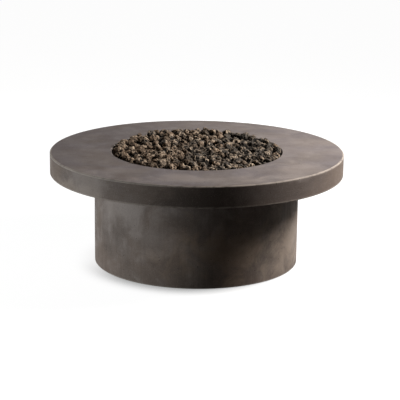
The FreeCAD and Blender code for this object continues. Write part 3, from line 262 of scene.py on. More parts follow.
world = bpy.data.worlds.new("studio")
bpy.context.scene.world = world
world.use_nodes = True
tree = world.node_tree
room = tree.nodes["Background"]
room.inputs["Color"].default_value = ROOM_COLOR
room.inputs["Strength"].default_value = ROOM_STRENGTH
backdrop = add(tree, "ShaderNodeBackground", Color=(1, 1, 1, 1), Strength=1)
choose = add(tree, "ShaderNodeMixShader")
link(tree, seen_directly(tree), choose.inputs[0])
link(tree, room.outputs[0], choose.inputs[1])
link(tree, backdrop.outputs[0], choose.inputs[2])
link(tree, choose.outputs[0], tree.nodes["World Output"].inputs["Surface"])


def softbox(name, azimuth, elevation, distance, width, height, power, color):
    """A flat lamp that faces the table; azimuth 0 is the front and 90 the right."""
    data = bpy.data.lights.new(name, "AREA")
    data.shape = "RECTANGLE"
    data.size, data.size_y = width, height
    data.energy = power
    data.color = color
    lamp = bpy.data.objects.new(name, data)
    lamp.visible_camera = False
    bpy.context.scene.collection.objects.link(lamp)
    turn, rise = math.radians(azimuth), math.radians(elevation)
    towards = Vector((math.sin(turn) * math.cos(rise), -math.cos(turn) * math.cos(rise), math.sin(rise)))
    lamp.matrix_world = (Matrix.Translation(LAMP_AIM + towards * distance)
                         @ towards.to_track_quat("Z", "Y").to_matrix().to_4x4())


LAMPS = [
    ("key_right", 90, 37, 2.2, 0.70, 0.70, 81, (1.0, 0.965, 0.93)),
    ("low_left", -75, -1.8, 3.2, 1.0, 0.36, 68, (0.92, 0.98, 1.0)),
    ("low_back", 172, -1.8, 3.2, 1.0, 0.36, 40, (0.92, 0.98, 1.0)),
]
for lamp in LAMPS:
    softbox(*lamp)
print("lamps:", len(LAMPS))

# %% [markdown]
# ## Effects that several finishes share
#
# Concrete, lava and metal are never one even colour. Clouds of tone, fine streaks and small pits appear
# again and again, so each is a node group: built once, then used in each material with its own numbers.
# A group gives out masks and heights only, and the material decides what they do.

# %% Shader groups
def new_group(name, inputs, outputs):
    group = bpy.data.node_groups.new(name, "ShaderNodeTree")
    for label, number in inputs.items():
        socket = group.interface.new_socket(label, in_out="INPUT", socket_type="NodeSocketFloat")
        socket.default_value = number
    for label in outputs:
        group.interface.new_socket(label, in_out="OUTPUT", socket_type="NodeSocketFloat")
    entry = group.nodes.new("NodeGroupInput")
    leave = group.nodes.new("NodeGroupOutput")
    return group, entry, leave


def noise(tree, vector, scale, detail, roughness, distortion=0.0):
    node = add(tree, "ShaderNodeTexNoise", Scale=scale, Detail=detail, Roughness=roughness,
               Distortion=distortion)
    link(tree, vector, node.inputs["Vector"])
    return node.outputs["Fac"]


CLOUD_NOISES = {"Broad": (5.5, 3, 0.5, 0.6), "Small": (17, 5, 0.6, 0.3), "Speckle": (330, 3, 0.7)}
HOLE_EDGE = (0.26, 0.12)
STREAK_NOISE = (1.0, 3, 0.6)


def clouds_group():
    """Soft clouds of tone: broad ones, smaller ones inside them, and a fine speckle."""
    group, entry, leave = new_group("tone_clouds", {"Size": 1.0}, tuple(CLOUD_NOISES))
    place = add(group, "ShaderNodeTexCoord")
    scaled = add(group, "ShaderNodeVectorMath", operation="SCALE")
    link(group, place.outputs["Object"], scaled.inputs[0])
    link(group, entry.outputs["Size"], scaled.inputs["Scale"])
    for label, settings in CLOUD_NOISES.items():
        link(group, noise(group, scaled.outputs[0], *settings), leave.inputs[label])
    return group


def pits_group():
    """Pin holes that air leaves in cast concrete: small, round and far apart."""
    group, entry, leave = new_group("pin_holes", {"Per metre": 110.0, "Share": 0.16}, ("Holes",))
    place = add(group, "ShaderNodeTexCoord")
    cells = add(group, "ShaderNodeTexVoronoi", feature="F1")
    link(group, place.outputs["Object"], cells.inputs["Vector"])
    link(group, entry.outputs["Per metre"], cells.inputs["Scale"])
    pick = add(group, "ShaderNodeSeparateColor")
    link(group, cells.outputs["Color"], pick.inputs[0])
    chosen = math_node(group, "LESS_THAN", pick.outputs[0], entry.outputs["Share"])
    round_hole = ranged(group, cells.outputs["Distance"], *HOLE_EDGE)
    link(group, math_node(group, "MULTIPLY", chosen, round_hole), leave.inputs["Holes"])
    return group


def streaks_group():
    """Fine lines along one axis, as a float, a mould or a brush leaves them."""
    group, entry, leave = new_group("fine_streaks", {"Across": 60.0, "Along": 2.0}, ("Upright", "Level"))
    place = add(group, "ShaderNodeTexCoord")
    split = add(group, "ShaderNodeSeparateXYZ")
    link(group, place.outputs["Object"], split.inputs[0])
    rates = {"Upright": ("Across", "Across", "Along"), "Level": ("Along", "Along", "Across")}
    for label, by_axis in rates.items():
        joined = add(group, "ShaderNodeCombineXYZ")
        for k, rate in enumerate(by_axis):
            stretched = math_node(group, "MULTIPLY", split.outputs[k], entry.outputs[rate])
            link(group, stretched, joined.inputs[k])
        link(group, noise(group, joined.outputs[0], *STREAK_NOISE), leave.inputs[label])
    return group


TONE_CLOUDS = clouds_group()
PIN_HOLES = pits_group()
FINE_STREAKS = streaks_group()


def use_group(tree, group, **numbers):
    node = tree.nodes.new("ShaderNodeGroup")
    node.node_tree = group
    for key, number in numbers.items():
        node.inputs[key.replace("_", " ")].default_value = number
    return node


def mixed(tree, mask, first, second):
    """Mix two colours, each a colour or a socket, by a mask."""
    node = add(tree, "ShaderNodeMix", data_type="RGBA", blend_type="MIX")
    link(tree, mask, node.inputs[0])
    for k, source in ((6, first), (7, second)):
        if isinstance(source, tuple):
            node.inputs[k].default_value = (*source, 1)
        else:
            link(tree, source, node.inputs[k])
    return node.outputs[2]


# %% [markdown]
# ## Cast concrete
#
# The top and the drum are cast in a fibre-reinforced concrete, coloured through and sealed. The face was
# trowelled, so it carries broad clouds and pale smears. The sides came off a smooth mould and show faint
# lines, level on the top's apron and upright on the drum. The arris, the narrow edge where face and side
# meet, has lost its skin and is paler, and that paler band is also a painted highlight line along it.
#
# The finish is worked out from the place on the table, because a painted picture would be tied to one
# size and could not follow the round edge so exactly.

# %% Rings of wear, painted highlight and painted shade, and soft patches
BAND_EDGE = (1.0, 0.45)
BAND_BREAK_NOISE = (38, 4, 0.65)
BAND_BREAK_SHARE = (0.30, 0.56, 0.30, 1.0)
PATCH_NOISE = (8, 6, 0.62, 0.7)
PATCH_RAGGED = 3.0
PATCH_EDGE = (1.0, 0.1)
FACE_BLEND = 0.001


def ring_band_group():
    """1 on a level ring about the table's axis, such as an arris, fading to 0 at its reach."""
    numbers = {"Radius": 0.5, "Height": 0.4, "Reach": 0.004}
    group, entry, leave = new_group("ring_band", numbers, ("Band",))
    place = add(group, "ShaderNodeTexCoord")
    split = add(group, "ShaderNodeSeparateXYZ")
    link(group, place.outputs["Object"], split.inputs[0])
    flat = add(group, "ShaderNodeCombineXYZ")
    link(group, split.outputs[0], flat.inputs[0])
    link(group, split.outputs[1], flat.inputs[1])
    out = add(group, "ShaderNodeVectorMath", operation="LENGTH")
    link(group, flat.outputs[0], out.inputs[0])
    aside = math_node(group, "SUBTRACT", out.outputs["Value"], entry.outputs["Radius"])
    above = math_node(group, "SUBTRACT", split.outputs[2], entry.outputs["Height"])
    away = math_node(group, "MAXIMUM", math_node(group, "ABSOLUTE", aside, 0),
                     math_node(group, "ABSOLUTE", above, 0))
    share = math_node(group, "DIVIDE", away, entry.outputs["Reach"])
    whole = ranged(group, share, *BAND_EDGE)
    band_breaks = noise(group, place.outputs["Object"], *BAND_BREAK_NOISE)
    link(group, math_node(group, "MULTIPLY", whole, ranged(group, band_breaks, *BAND_BREAK_SHARE)),
         leave.inputs["Band"])
    return group


RING_BAND = ring_band_group()


def patch_group():
    """1 about a place on the object, fading unevenly to 0 at its reach along X, Y and Z."""
    numbers = {"X": 0.0, "Y": 0.0, "Z": 0.4, "Reach X": 0.1, "Reach Y": 0.1, "Reach Z": 0.1}
    group, entry, leave = new_group("soft_patch", numbers, ("Patch",))
    place = add(group, "ShaderNodeTexCoord")
    centre = add(group, "ShaderNodeCombineXYZ")
    reach = add(group, "ShaderNodeCombineXYZ")
    for k, axis in enumerate("XYZ"):
        link(group, entry.outputs[axis], centre.inputs[k])
        link(group, entry.outputs[f"Reach {axis}"], reach.inputs[k])
    aside = add(group, "ShaderNodeVectorMath", operation="SUBTRACT")
    link(group, place.outputs["Object"], aside.inputs[0])
    link(group, centre.outputs[0], aside.inputs[1])
    share = add(group, "ShaderNodeVectorMath", operation="DIVIDE")
    link(group, aside.outputs[0], share.inputs[0])
    link(group, reach.outputs[0], share.inputs[1])
    away = add(group, "ShaderNodeVectorMath", operation="LENGTH")
    link(group, share.outputs[0], away.inputs[0])
    uneven = noise(group, place.outputs["Object"], *PATCH_NOISE)
    ragged = math_node(group, "MULTIPLY", math_node(group, "SUBTRACT", uneven, 0.5), PATCH_RAGGED)
    link(group, ranged(group, math_node(group, "ADD", away.outputs["Value"], ragged), *PATCH_EDGE),
         leave.inputs["Patch"])
    return group


SOFT_PATCH = patch_group()


def above(tree, height):
    """1 above a height on the object and 0 below it."""
    place = add(tree, "ShaderNodeTexCoord")
    split = add(tree, "ShaderNodeSeparateXYZ")
    link(tree, place.outputs["Object"], split.inputs[0])
    return ranged(tree, split.outputs[2], height - FACE_BLEND, height + FACE_BLEND)


# %% Concrete
FACE_MAUVE = (0.160, 0.140, 0.142)
FACE_GREIGE = (0.172, 0.147, 0.137)
SIDE_BROWN = (0.150, 0.117, 0.098)
SIDE_GREY = (0.136, 0.111, 0.100)
DRUM_BROWN = (0.172, 0.133, 0.112)
DRUM_GREY = (0.155, 0.127, 0.113)
CONCRETE_DARK = (0.088, 0.070, 0.060)
CONCRETE_PALE = (0.290, 0.250, 0.230)
CONCRETE_TAN = (0.40, 0.325, 0.262)
CONCRETE_RUST = (0.40, 0.285, 0.200)
ARRIS_WEAR_AND_HIGHLIGHT = (0.40, 0.345, 0.300)
# Near black for painted shade, in the pin holes and on the opening's inner wall.
HOLE_SHADE_BLACK = (0.022, 0.018, 0.016)
CONCRETE_CLOUDS = 0.9
HOLES_PER_METRE = 150.0
HOLE_SHARE = 0.035
STREAK_LENGTH_RATE = 7.0
FACE_DEPTH = 0.0035
TONE_CLOUD = (0.36, 0.64)
DARK_CLOUD = (0.46, 0.76)
PALE_CLOUD = (0.50, 0.24)
STREAK_LINES = (0.44, 0.68)
PALE_SPECKS = (0.52, 0.74, 0.0, 0.42)
DARK_SPECKS = (0.48, 0.28, 0.0, 0.38)
# Painted shade on the opening's inner wall under the face, where the stones shade it.
OPENING_WALL_SHADE = {"Radius": OPENING_RADIUS, "Height": TOP_HEIGHT - 0.025, "Reach": 0.060}
CONCRETE_ROUGHNESS = (0.3, 0.7, 0.50, 0.70)
SPECK_HEIGHT = 0.25
CLOUD_HEIGHT = 0.9
SEALED_GLOSS = 0.04
CONCRETE_BUMP = {"Strength": 0.35, "Distance": 0.0006}


def concrete(name, face_tones, side_tones, mottle, streak, rings, patches):
    """A concrete finish.

    Streak is (direction, lines per metre, strength), rings are (radius, height, reach, strength) of worn
    edges with a painted highlight, and patches, some of them painted light and shade, are (colour,
    strength, (x, y, z), (reach x, reach y, reach z)).
    """
    direction, per_metre, streak_strength = streak
    material, tree, shader = new_material(name)
    clouds = use_group(tree, TONE_CLOUDS, Size=CONCRETE_CLOUDS)
    holes = use_group(tree, PIN_HOLES, Per_metre=HOLES_PER_METRE, Share=HOLE_SHARE)
    streaks = use_group(tree, FINE_STREAKS, Across=per_metre, Along=STREAK_LENGTH_RATE)
    tone = ranged(tree, clouds.outputs["Broad"], *TONE_CLOUD)
    face = above(tree, TOP_HEIGHT - FACE_DEPTH)
    body = mixed(tree, face, mixed(tree, tone, *side_tones), mixed(tree, tone, *face_tones))
    dark = ranged(tree, clouds.outputs["Small"], *DARK_CLOUD, 0.0, mottle)
    body = mixed(tree, dark, body, CONCRETE_DARK)
    pale = ranged(tree, clouds.outputs["Small"], *PALE_CLOUD, 0.0, mottle)
    body = mixed(tree, pale, body, CONCRETE_PALE)
    lines = ranged(tree, streaks.outputs[direction], *STREAK_LINES, 0.0, streak_strength)
    body = mixed(tree, lines, body, CONCRETE_DARK)
    for color, strength, spot, reach in patches:
        numbers = dict(zip(("X", "Y", "Z", "Reach_X", "Reach_Y", "Reach_Z"), (*spot, *reach)))
        patch = use_group(tree, SOFT_PATCH, **numbers)
        body = mixed(tree, math_node(tree, "MULTIPLY", patch.outputs["Patch"], strength), body, color)
    body = mixed(tree, ranged(tree, clouds.outputs["Speckle"], *PALE_SPECKS), body, CONCRETE_PALE)
    body = mixed(tree, ranged(tree, clouds.outputs["Speckle"], *DARK_SPECKS), body, CONCRETE_DARK)
    # Paler edges: wear, and a painted highlight line along them.
    for radius, height, reach, strength in rings:
        edge_band = use_group(tree, RING_BAND, Radius=radius, Height=height, Reach=reach)
        wear_and_highlight = math_node(tree, "MULTIPLY", edge_band.outputs["Band"], strength)
        body = mixed(tree, wear_and_highlight, body, ARRIS_WEAR_AND_HIGHLIGHT)
    # Painted shade: the pin holes are dark where shade falls into them.
    body = mixed(tree, holes.outputs["Holes"], body, HOLE_SHADE_BLACK)
    # Painted shade: the opening's inner wall under the face turns near black, as the stones shade it.
    darkening = use_group(tree, RING_BAND, **OPENING_WALL_SHADE)
    darkened_part = math_node(tree, "MULTIPLY", darkening.outputs["Band"], math_node(tree, "SUBTRACT", 1.0, face))
    body = mixed(tree, darkened_part, body, HOLE_SHADE_BLACK)
    link(tree, body, shader.inputs["Base Color"])
    link(tree, ranged(tree, clouds.outputs["Small"], *CONCRETE_ROUGHNESS), shader.inputs["Roughness"])
    skin = math_node(tree, "ADD", math_node(tree, "MULTIPLY", clouds.outputs["Speckle"], SPECK_HEIGHT),
                     math_node(tree, "MULTIPLY", clouds.outputs["Small"], CLOUD_HEIGHT))
    bump = add(tree, "ShaderNodeBump", **CONCRETE_BUMP)
    link(tree, math_node(tree, "SUBTRACT", skin, holes.outputs["Holes"]), bump.inputs["Height"])
    link(tree, bump.outputs[0], shader.inputs["Normal"])
    shader.inputs["Specular IOR Level"].default_value = SEALED_GLOSS
    return material


def dress(material, *names):
    """Give CAD nodes a finish in place of the plain one they are loaded with."""
    for name in names:
        held = nodes[name].data
        held.materials.clear()
        held.materials.append(material)


# Worn edges, paler, which also paint a highlight line along the arris and the apron's lower edge.
TOP_RINGS = [
    (TOP_RADIUS - 0.001, TOP_HEIGHT - 0.001, 0.0058, 0.72),
    (TOP_RADIUS - 0.001, APRON_LOW + 0.001, 0.0060, 0.40),
    (OPENING_RADIUS + 0.001, TOP_HEIGHT - 0.001, 0.0045, 0.20),
]
TOP_PATCHES = [
    # Painted light: this patch and the one at (0.34, -0.28) make the top paler at its right, where the
    # lamp lights it.
    (CONCRETE_PALE, 0.34, (0.38, 0.10, TOP_HEIGHT), (0.34, 0.52, 0.02)),
    (CONCRETE_PALE, 0.22, (0.05, 0.44, TOP_HEIGHT), (0.34, 0.14, 0.02)),
    (CONCRETE_PALE, 0.60, (0.00, -0.435, TOP_HEIGHT), (0.32, 0.08, 0.02)),
    (CONCRETE_PALE, 0.22, (-0.31, -0.33, TOP_HEIGHT), (0.15, 0.07, 0.02)),
    # Painted light on the top's front right.
    (CONCRETE_PALE, 0.42, (0.34, -0.28, TOP_HEIGHT), (0.18, 0.18, 0.02)),
    # Painted shade: the top's left back is darker, away from the lamp.
    (CONCRETE_DARK, 0.25, (-0.34, 0.18, TOP_HEIGHT), (0.34, 0.34, 0.02)),
    # Painted shade on the apron's front, where little light falls.
    (CONCRETE_DARK, 1.0, (-0.01, -0.53, 0.36), (0.25, 0.10, 0.12)),
    (CONCRETE_TAN, 0.30, (-0.41, -0.34, 0.34), (0.22, 0.22, 0.040)),
    (CONCRETE_PALE, 0.45, (-0.36, -0.39, 0.37), (0.14, 0.14, 0.08)),
]
DRUM_RINGS = [(DRUM_RADIUS, drum_low.z, 0.0060, 0.40)]
DRUM_PATCHES = [
    (CONCRETE_PALE, 0.62, (-0.25, -0.27, 0.28), (0.19, 0.19, 0.12)),
    # Painted shade: a dark band on the drum's front, under the apron's shadow.
    (CONCRETE_DARK, 0.40, (-0.06, -0.37, 0.235), (0.12, 0.10, 0.05)),
    (CONCRETE_RUST, 0.36, (0.08, -0.36, 0.12), (0.26, 0.14, 0.13)),
    (CONCRETE_PALE, 0.35, (-0.15, -0.34, 0.18), (0.12, 0.10, 0.09)),
    # Painted shade: the drum's upper right, in the overhang's shadow.
    (CONCRETE_DARK, 0.60, (0.20, -0.31, 0.27), (0.14, 0.14, 0.10)),
    # Painted light: a pale warm pool where the right lamp lights the drum's lower right.
    (CONCRETE_TAN, 0.55, (0.33, -0.17, 0.10), (0.24, 0.28, 0.20)),
]
TOP_MOTTLE = 0.16
TOP_STREAK = ("Level", 190.0, 0.22)
DRUM_MOTTLE = 0.46
DRUM_STREAK = ("Upright", 120.0, 0.24)
top_concrete = concrete("cast_concrete_top", (FACE_MAUVE, FACE_GREIGE), (SIDE_BROWN, SIDE_GREY),
                        TOP_MOTTLE, TOP_STREAK, TOP_RINGS, TOP_PATCHES)
drum_concrete = concrete("cast_concrete_drum", (DRUM_GREY, DRUM_BROWN), (DRUM_BROWN, DRUM_GREY),
                         DRUM_MOTTLE, DRUM_STREAK, DRUM_RINGS, DRUM_PATCHES)
dress(top_concrete, "table_top")
dress(drum_concrete, "base_drum")

# %% [markdown]
# ## One stone of lava rock
#
# Lava rock is a stiff froth: a lump full of round bubbles, broken open, with thin walls between them. A
# ball pushed in and out by patterns comes close. The first, slow pattern makes the lump; the others,
# built from cells, leave a hollow in each cell and a wall between cells. Thirty-odd different lumps are
# enough, because each is turned another way wherever it lies. The stones in the pan under the burner
# only fill the gaps with something dark, so their lumps have few faces.

# %% Lumps of lava
LUMP_KINDS = 34
LUMP_FACES = 900
FILLER_KINDS = 6
FILLER_FACES = 90
LUMP_START = 40
LUMP_DEPTHS = (0.80, 1.0)
LUMP_HEIGHTS = (0.70, 0.92)
LUMP_REACH_PERCENT = 88
HOLLOW_BY_REACH = 0.9
HOLLOW_SPREAD = 4.5
dice = np.random.default_rng(41)


def only(item):
    """Make one object the selected and active one."""
    bpy.ops.object.select_all(action="DESELECT")
    item.select_set(True)
    bpy.context.view_layer.objects.active = item


def pattern(name, kind, size, **settings):
    texture = bpy.data.textures.new(name, kind)
    texture.noise_scale = size
    for key, setting in settings.items():
        setattr(texture, key, setting)
    return texture


PUSHES = [
    (pattern("lump", "CLOUDS", 0.80, noise_depth=1), 0.46),
    (pattern("broken_faces", "VORONOI", 0.62), 0.26),
    (pattern("bubbles", "VORONOI", 0.30), 0.15),
    (pattern("fine_bubbles", "VORONOI", 0.15), 0.06),
]


def push(item, texture, strength):
    shove = item.modifiers.new(texture.name, "DISPLACE")
    shove.texture = texture
    shove.strength = strength
    bpy.ops.object.modifier_apply(modifier=shove.name)


def lump(name, faces):
    """A lump with a half width of 1. The ball starts far off, where each meets other patterns."""
    start = Vector(dice.uniform(-LUMP_START, LUMP_START, 3))
    bpy.ops.mesh.primitive_ico_sphere_add(subdivisions=5, radius=0.5, location=start)
    item = bpy.context.active_object
    item.name = name
    only(item)
    bpy.ops.object.transform_apply(location=True, rotation=False, scale=False)
    for texture, strength in PUSHES:
        push(item, texture, strength)
    fewer = item.modifiers.new("fewer", "DECIMATE")
    fewer.ratio = faces / len(item.data.polygons)
    bpy.ops.object.modifier_apply(modifier="fewer")
    mark_hollows(item.data)
    points = np.array([v.co for v in item.data.vertices])
    points -= points.mean(0)
    points *= np.array([1.0, dice.uniform(*LUMP_DEPTHS), dice.uniform(*LUMP_HEIGHTS)])
    points /= np.percentile(np.linalg.norm(points, axis=1), LUMP_REACH_PERCENT)
    item.data.vertices.foreach_set("co", points.ravel())
    item.data.update()
    item.hide_render = True
    return item


def mark_hollows(mesh):
    """Write 0 on the ridges and 1 in the pits, from how deep each point lies among its neighbours."""
    points = np.array([v.co for v in mesh.vertices])
    ends = np.array([edge.vertices[:] for edge in mesh.edges])
    around = np.zeros_like(points)
    count = np.zeros(len(points))
    for here, there in ((0, 1), (1, 0)):
        np.add.at(around, ends[:, here], points[ends[:, there]])
        np.add.at(count, ends[:, here], 1)
    normals = np.array([v.normal for v in mesh.vertices])
    depth = ((around / count[:, None] - points) * normals).sum(1)
    reach = np.linalg.norm(points - points.mean(0), axis=1)
    score = depth / depth.std() - HOLLOW_BY_REACH * (reach - reach.mean()) / reach.std()
    hollow = mesh.attributes.new("hollow", "FLOAT", "POINT")
    hollow.data.foreach_set("value", np.clip(0.5 + score / HOLLOW_SPREAD, 0, 1).astype(np.float32))


lumps = [lump(f"lump_{k}", LUMP_FACES) for k in range(LUMP_KINDS)]
fillers = [lump(f"filler_{k}", FILLER_FACES) for k in range(FILLER_KINDS)]
print("lumps:", len(lumps), "faces each:", len(lumps[0].data.polygons), "fillers:", len(fillers))

# %% [markdown]
# ## Filling the opening
#
# Poured stones lie in no pattern, each against its neighbours. A full physics simulation could pour
# them, but would take minutes. Packing is quicker: each stone is treated as a ball, balls that overlap
# push apart a little at a time, and the wall, the ledge, the burner's arms and the low mound of the bed
# hold them in. A lump doesn't fill its ball, so balls may stay a little inside each other. The upper
# stones lie over the burner and the rest lie in the pan between its arms.

# %% Pack the stones
UPPER_STONES = 345
LOWER_STONES = 190
STONE_RADIUS = (0.0130, 0.0250)
SMALL_STONES_POWER = 1.4
BED_WALL = OPENING_RADIUS - 0.0025
BED_FLOOR = 0.3840
BED_RISE = 0.005
BED_MOUND = 0.014
BED_EDGE_POWER = 15
BED_BACK_LIFT = 0.007
BED_ROLL = 0.0015
BED_WAVES = (31, 37)
PAN_RADIUS = 0.262
PAN_DEEP = 0.3335
ARM_RADIUS = 0.0085
ARM_HEIGHT = 0.3737
ARM_REACH = (0.030, 0.206)
ARM_ANGLES = [math.radians(30 + 60 * k) for k in range(6)]
HUB_RADIUS = 0.044
PACK_STEPS = 260
PACK_PUSH = 0.28
TOUCH = 0.92
OFF_WALL = 0.95
OFF_FLOOR = 0.9
OFF_BED_TOP = 0.9
OFF_PAN_TOP = 0.5
TINY = 1e-9


def bed_height(x, y):
    """The bed is nearly flat, rolls down at the wall, and stands a little higher at the back."""
    share = np.minimum(np.hypot(x, y) / BED_WALL, 1)
    rolling = BED_ROLL * (np.sin(BED_WAVES[0] * x + 1) + np.sin(BED_WAVES[1] * y + 2 * x))
    mound = BED_MOUND * (1 - share ** BED_EDGE_POWER)
    return TOP_HEIGHT + BED_RISE + mound + BED_BACK_LIFT * y / BED_WALL + rolling


def off_the_arms(spots, size):
    """Push the lower stones away from the burner's arms and its hub."""
    for angle in ARM_ANGLES:
        along = np.array([math.cos(angle), math.sin(angle), 0])
        reach = np.clip(spots @ along, *ARM_REACH)
        nearest = reach[:, None] * along + np.array([0, 0, ARM_HEIGHT])
        gap = spots - nearest
        distance = np.linalg.norm(gap, axis=1) + TINY
        spots += gap / distance[:, None] * np.clip(ARM_RADIUS + size - distance, 0, None)[:, None]
    out = np.linalg.norm(spots[:, :2], axis=1) + TINY
    spots[:, :2] *= (np.maximum(out, HUB_RADIUS + size) / out)[:, None]


def pack_stones(seed):
    """Places and radii of the stones. The Off numbers are shares of a ball's own radius."""
    shake = np.random.default_rng(seed)
    count = UPPER_STONES + LOWER_STONES
    upper = np.arange(count) < UPPER_STONES
    share = shake.uniform(0, 1, count) ** SMALL_STONES_POWER
    size = STONE_RADIUS[0] + (STONE_RADIUS[1] - STONE_RADIUS[0]) * share
    angle = shake.uniform(0, 2 * math.pi, count)
    out = np.where(upper, BED_WALL, PAN_RADIUS) * np.sqrt(shake.uniform(0, 1, count))
    high = np.where(upper, shake.uniform(BED_FLOOR, TOP_HEIGHT + BED_MOUND, count),
                    shake.uniform(PAN_DEEP, BED_FLOOR, count))
    spots = np.stack([out * np.cos(angle), out * np.sin(angle), high], 1)
    for _ in range(PACK_STEPS):
        apart = spots[:, None] - spots[None]
        distance = np.sqrt((apart ** 2).sum(2)) + TINY
        overlap = np.clip((size[:, None] + size[None]) * TOUCH - distance, 0, None)
        np.fill_diagonal(overlap, 0)
        spots += PACK_PUSH * (apart * (overlap / distance)[..., None]).sum(1)
        below = spots[~upper]
        off_the_arms(below, size[~upper])
        spots[~upper] = below
        out = np.linalg.norm(spots[:, :2], axis=1)
        wall = np.where(upper, BED_WALL - size * OFF_WALL, PAN_RADIUS - size)
        spots[:, :2] *= np.minimum(1, wall / np.maximum(out, TINY))[:, None]
        bed_top = bed_height(spots[:, 0], spots[:, 1]) - size * OFF_BED_TOP
        roof = np.where(upper, bed_top, BED_FLOOR - size * OFF_PAN_TOP)
        ground = np.where(upper, BED_FLOOR + size * OFF_FLOOR, PAN_DEEP + size)
        spots[:, 2] = np.clip(spots[:, 2], ground, np.maximum(roof, ground))
    print("overlap left, mm:", round(float(overlap.max()) * 1000, 1),
          "mean", round(float(overlap.sum() / count) * 1000, 2))
    return spots, size


PACK_SEED = 12
spots, stone_sizes = pack_stones(PACK_SEED)

# %% [markdown]
# ## Laying the stones
#
# Each stone is a copy of a lump with its own mesh, turned at random and given a tone. Hundreds of
# separate objects would be slow to handle, so neighbours are joined into a few pieces afterwards.

# %% Lay and join the stones
BED_PIECES = 6
BED_TOP = stones_high.z - 0.0002
SUNK_BLACK = 0.030
TONE_AT_LEFT = 0.12
TONE_ACROSS = 0.76
TONE_SPREAD = 0.22


def write_points(mesh, name, numbers):
    attribute = mesh.attributes.new(name, "FLOAT", "POINT")
    attribute.data.foreach_set("value", numbers.astype(np.float32))


def lay(kind, place, size):
    """A turned, sized copy of a lump, with its tones and how deep it lies written on its points."""
    mesh = kind.data.copy()
    stone = bpy.data.objects.new("stone", mesh)
    bpy.context.scene.collection.objects.link(stone)
    turn = Vector(dice.normal(size=3)).normalized().to_track_quat("Z", "Y").to_matrix().to_4x4()
    spin = Matrix.Rotation(dice.uniform(0, 2 * math.pi), 4, "Z")
    mesh.transform(Matrix.Translation(place) @ turn @ spin @ Matrix.Scale(size, 4))
    side = np.clip(0.5 + place[0] / (2 * OPENING_RADIUS), 0, 1)
    tone = np.clip(TONE_AT_LEFT + TONE_ACROSS * side + dice.normal() * TONE_SPREAD, 0, 1)
    write_points(mesh, "tone", np.full(len(mesh.vertices), tone))
    write_points(mesh, "pale", np.full(len(mesh.vertices), dice.uniform()))
    points = np.empty(len(mesh.vertices) * 3)
    mesh.vertices.foreach_get("co", points)
    x, y, z = points.reshape(-1, 3).T
    # Painted shade: points deep below the bed's top are marked to turn black between the stones.
    write_points(mesh, "sunk", np.clip((bed_height(x, y) - z) / SUNK_BLACK, 0, 1))
    return stone


def hold_under(piece, height):
    """Flatten the few points that stand above a height."""
    points = np.empty(len(piece.data.vertices) * 3)
    piece.data.vertices.foreach_get("co", points)
    points = points.reshape(-1, 3)
    points[:, 2] = np.minimum(points[:, 2], height)
    piece.data.vertices.foreach_set("co", points.ravel())
    piece.data.update()


stones = []
for k, spot in enumerate(spots):
    kinds = lumps if k < UPPER_STONES else fillers
    stones.append(lay(kinds[dice.integers(len(kinds))], spot, stone_sizes[k]))
order = np.argsort(np.arctan2(spots[:, 1], spots[:, 0]))
bed = []
for number, chosen in enumerate(np.array_split(order, BED_PIECES), start=1):
    bpy.ops.object.select_all(action="DESELECT")
    for k in chosen:
        stones[k].select_set(True)
    bpy.context.view_layer.objects.active = stones[chosen[0]]
    bpy.ops.object.join()
    piece = bpy.context.active_object
    piece.name = f"lava_rock_{number}"
    hold_under(piece, BED_TOP)
    bed.append(piece)
for kind in lumps + fillers:
    bpy.data.objects.remove(kind)
print("stones:", len(spots), "triangles:", sum(len(piece.data.polygons) for piece in bed),
      "top:", round(max(v.co.z for piece in bed for v in piece.data.vertices), 4))

# %% [markdown]
# ## The colour of lava rock
#
# Fresh breaks are dark grey to brown-black, weathered faces are tan, the tan on the ridges is also a
# painted highlight, and the pits hold black shadow.
# Attributes on its points carry each stone's own tone and how pale it is. Two more say how deep in a pit
# and how deep in the bed a point lies, so the colour follows the shape exactly; deep in the bed the
# stones are painted black as painted shade between them.

# %% Lava finish
LAVA_BROWN = (0.210, 0.150, 0.106)
LAVA_GREY = (0.100, 0.086, 0.074)
LAVA_TAN = (0.470, 0.368, 0.272)
LAVA_BLACK = (0.006, 0.005, 0.004)
DARK_STONES = {"X": 0.22, "Y": -0.03, "Z": 0.42, "Reach_X": 0.20, "Reach_Y": 0.30, "Reach_Z": 0.20}
DARK_STONES_STRENGTH = 0.18
LAVA_CLOUDS = 9.0
BROWN_TO_GREY = (0.25, 0.75)
TAN_CLOUD = (0.46, 0.60)
# Tan kept to the ridges, partly a painted highlight.
TAN_RIDGE_HIGHLIGHT = (0.50, 0.24)
TAN_STONE = (0.1, 0.8, 0.50, 1.0)
BLACK_STONE = (0.40, 0.0, 0.0, 0.42)
BLACK_CLOUD = (0.54, 0.72, 0.0, 0.45)
BLACK_PIT = (0.48, 0.66)
BLACK_SUNK = (0.20, 0.62)
LAVA_ROUGHNESS = 0.9
LAVA_GLOSS = 0.10
LAVA_BUMP = {"Strength": 1.0, "Distance": 0.0016}


def attribute(tree, name):
    node = add(tree, "ShaderNodeAttribute", attribute_name=name)
    return node.outputs["Fac"]


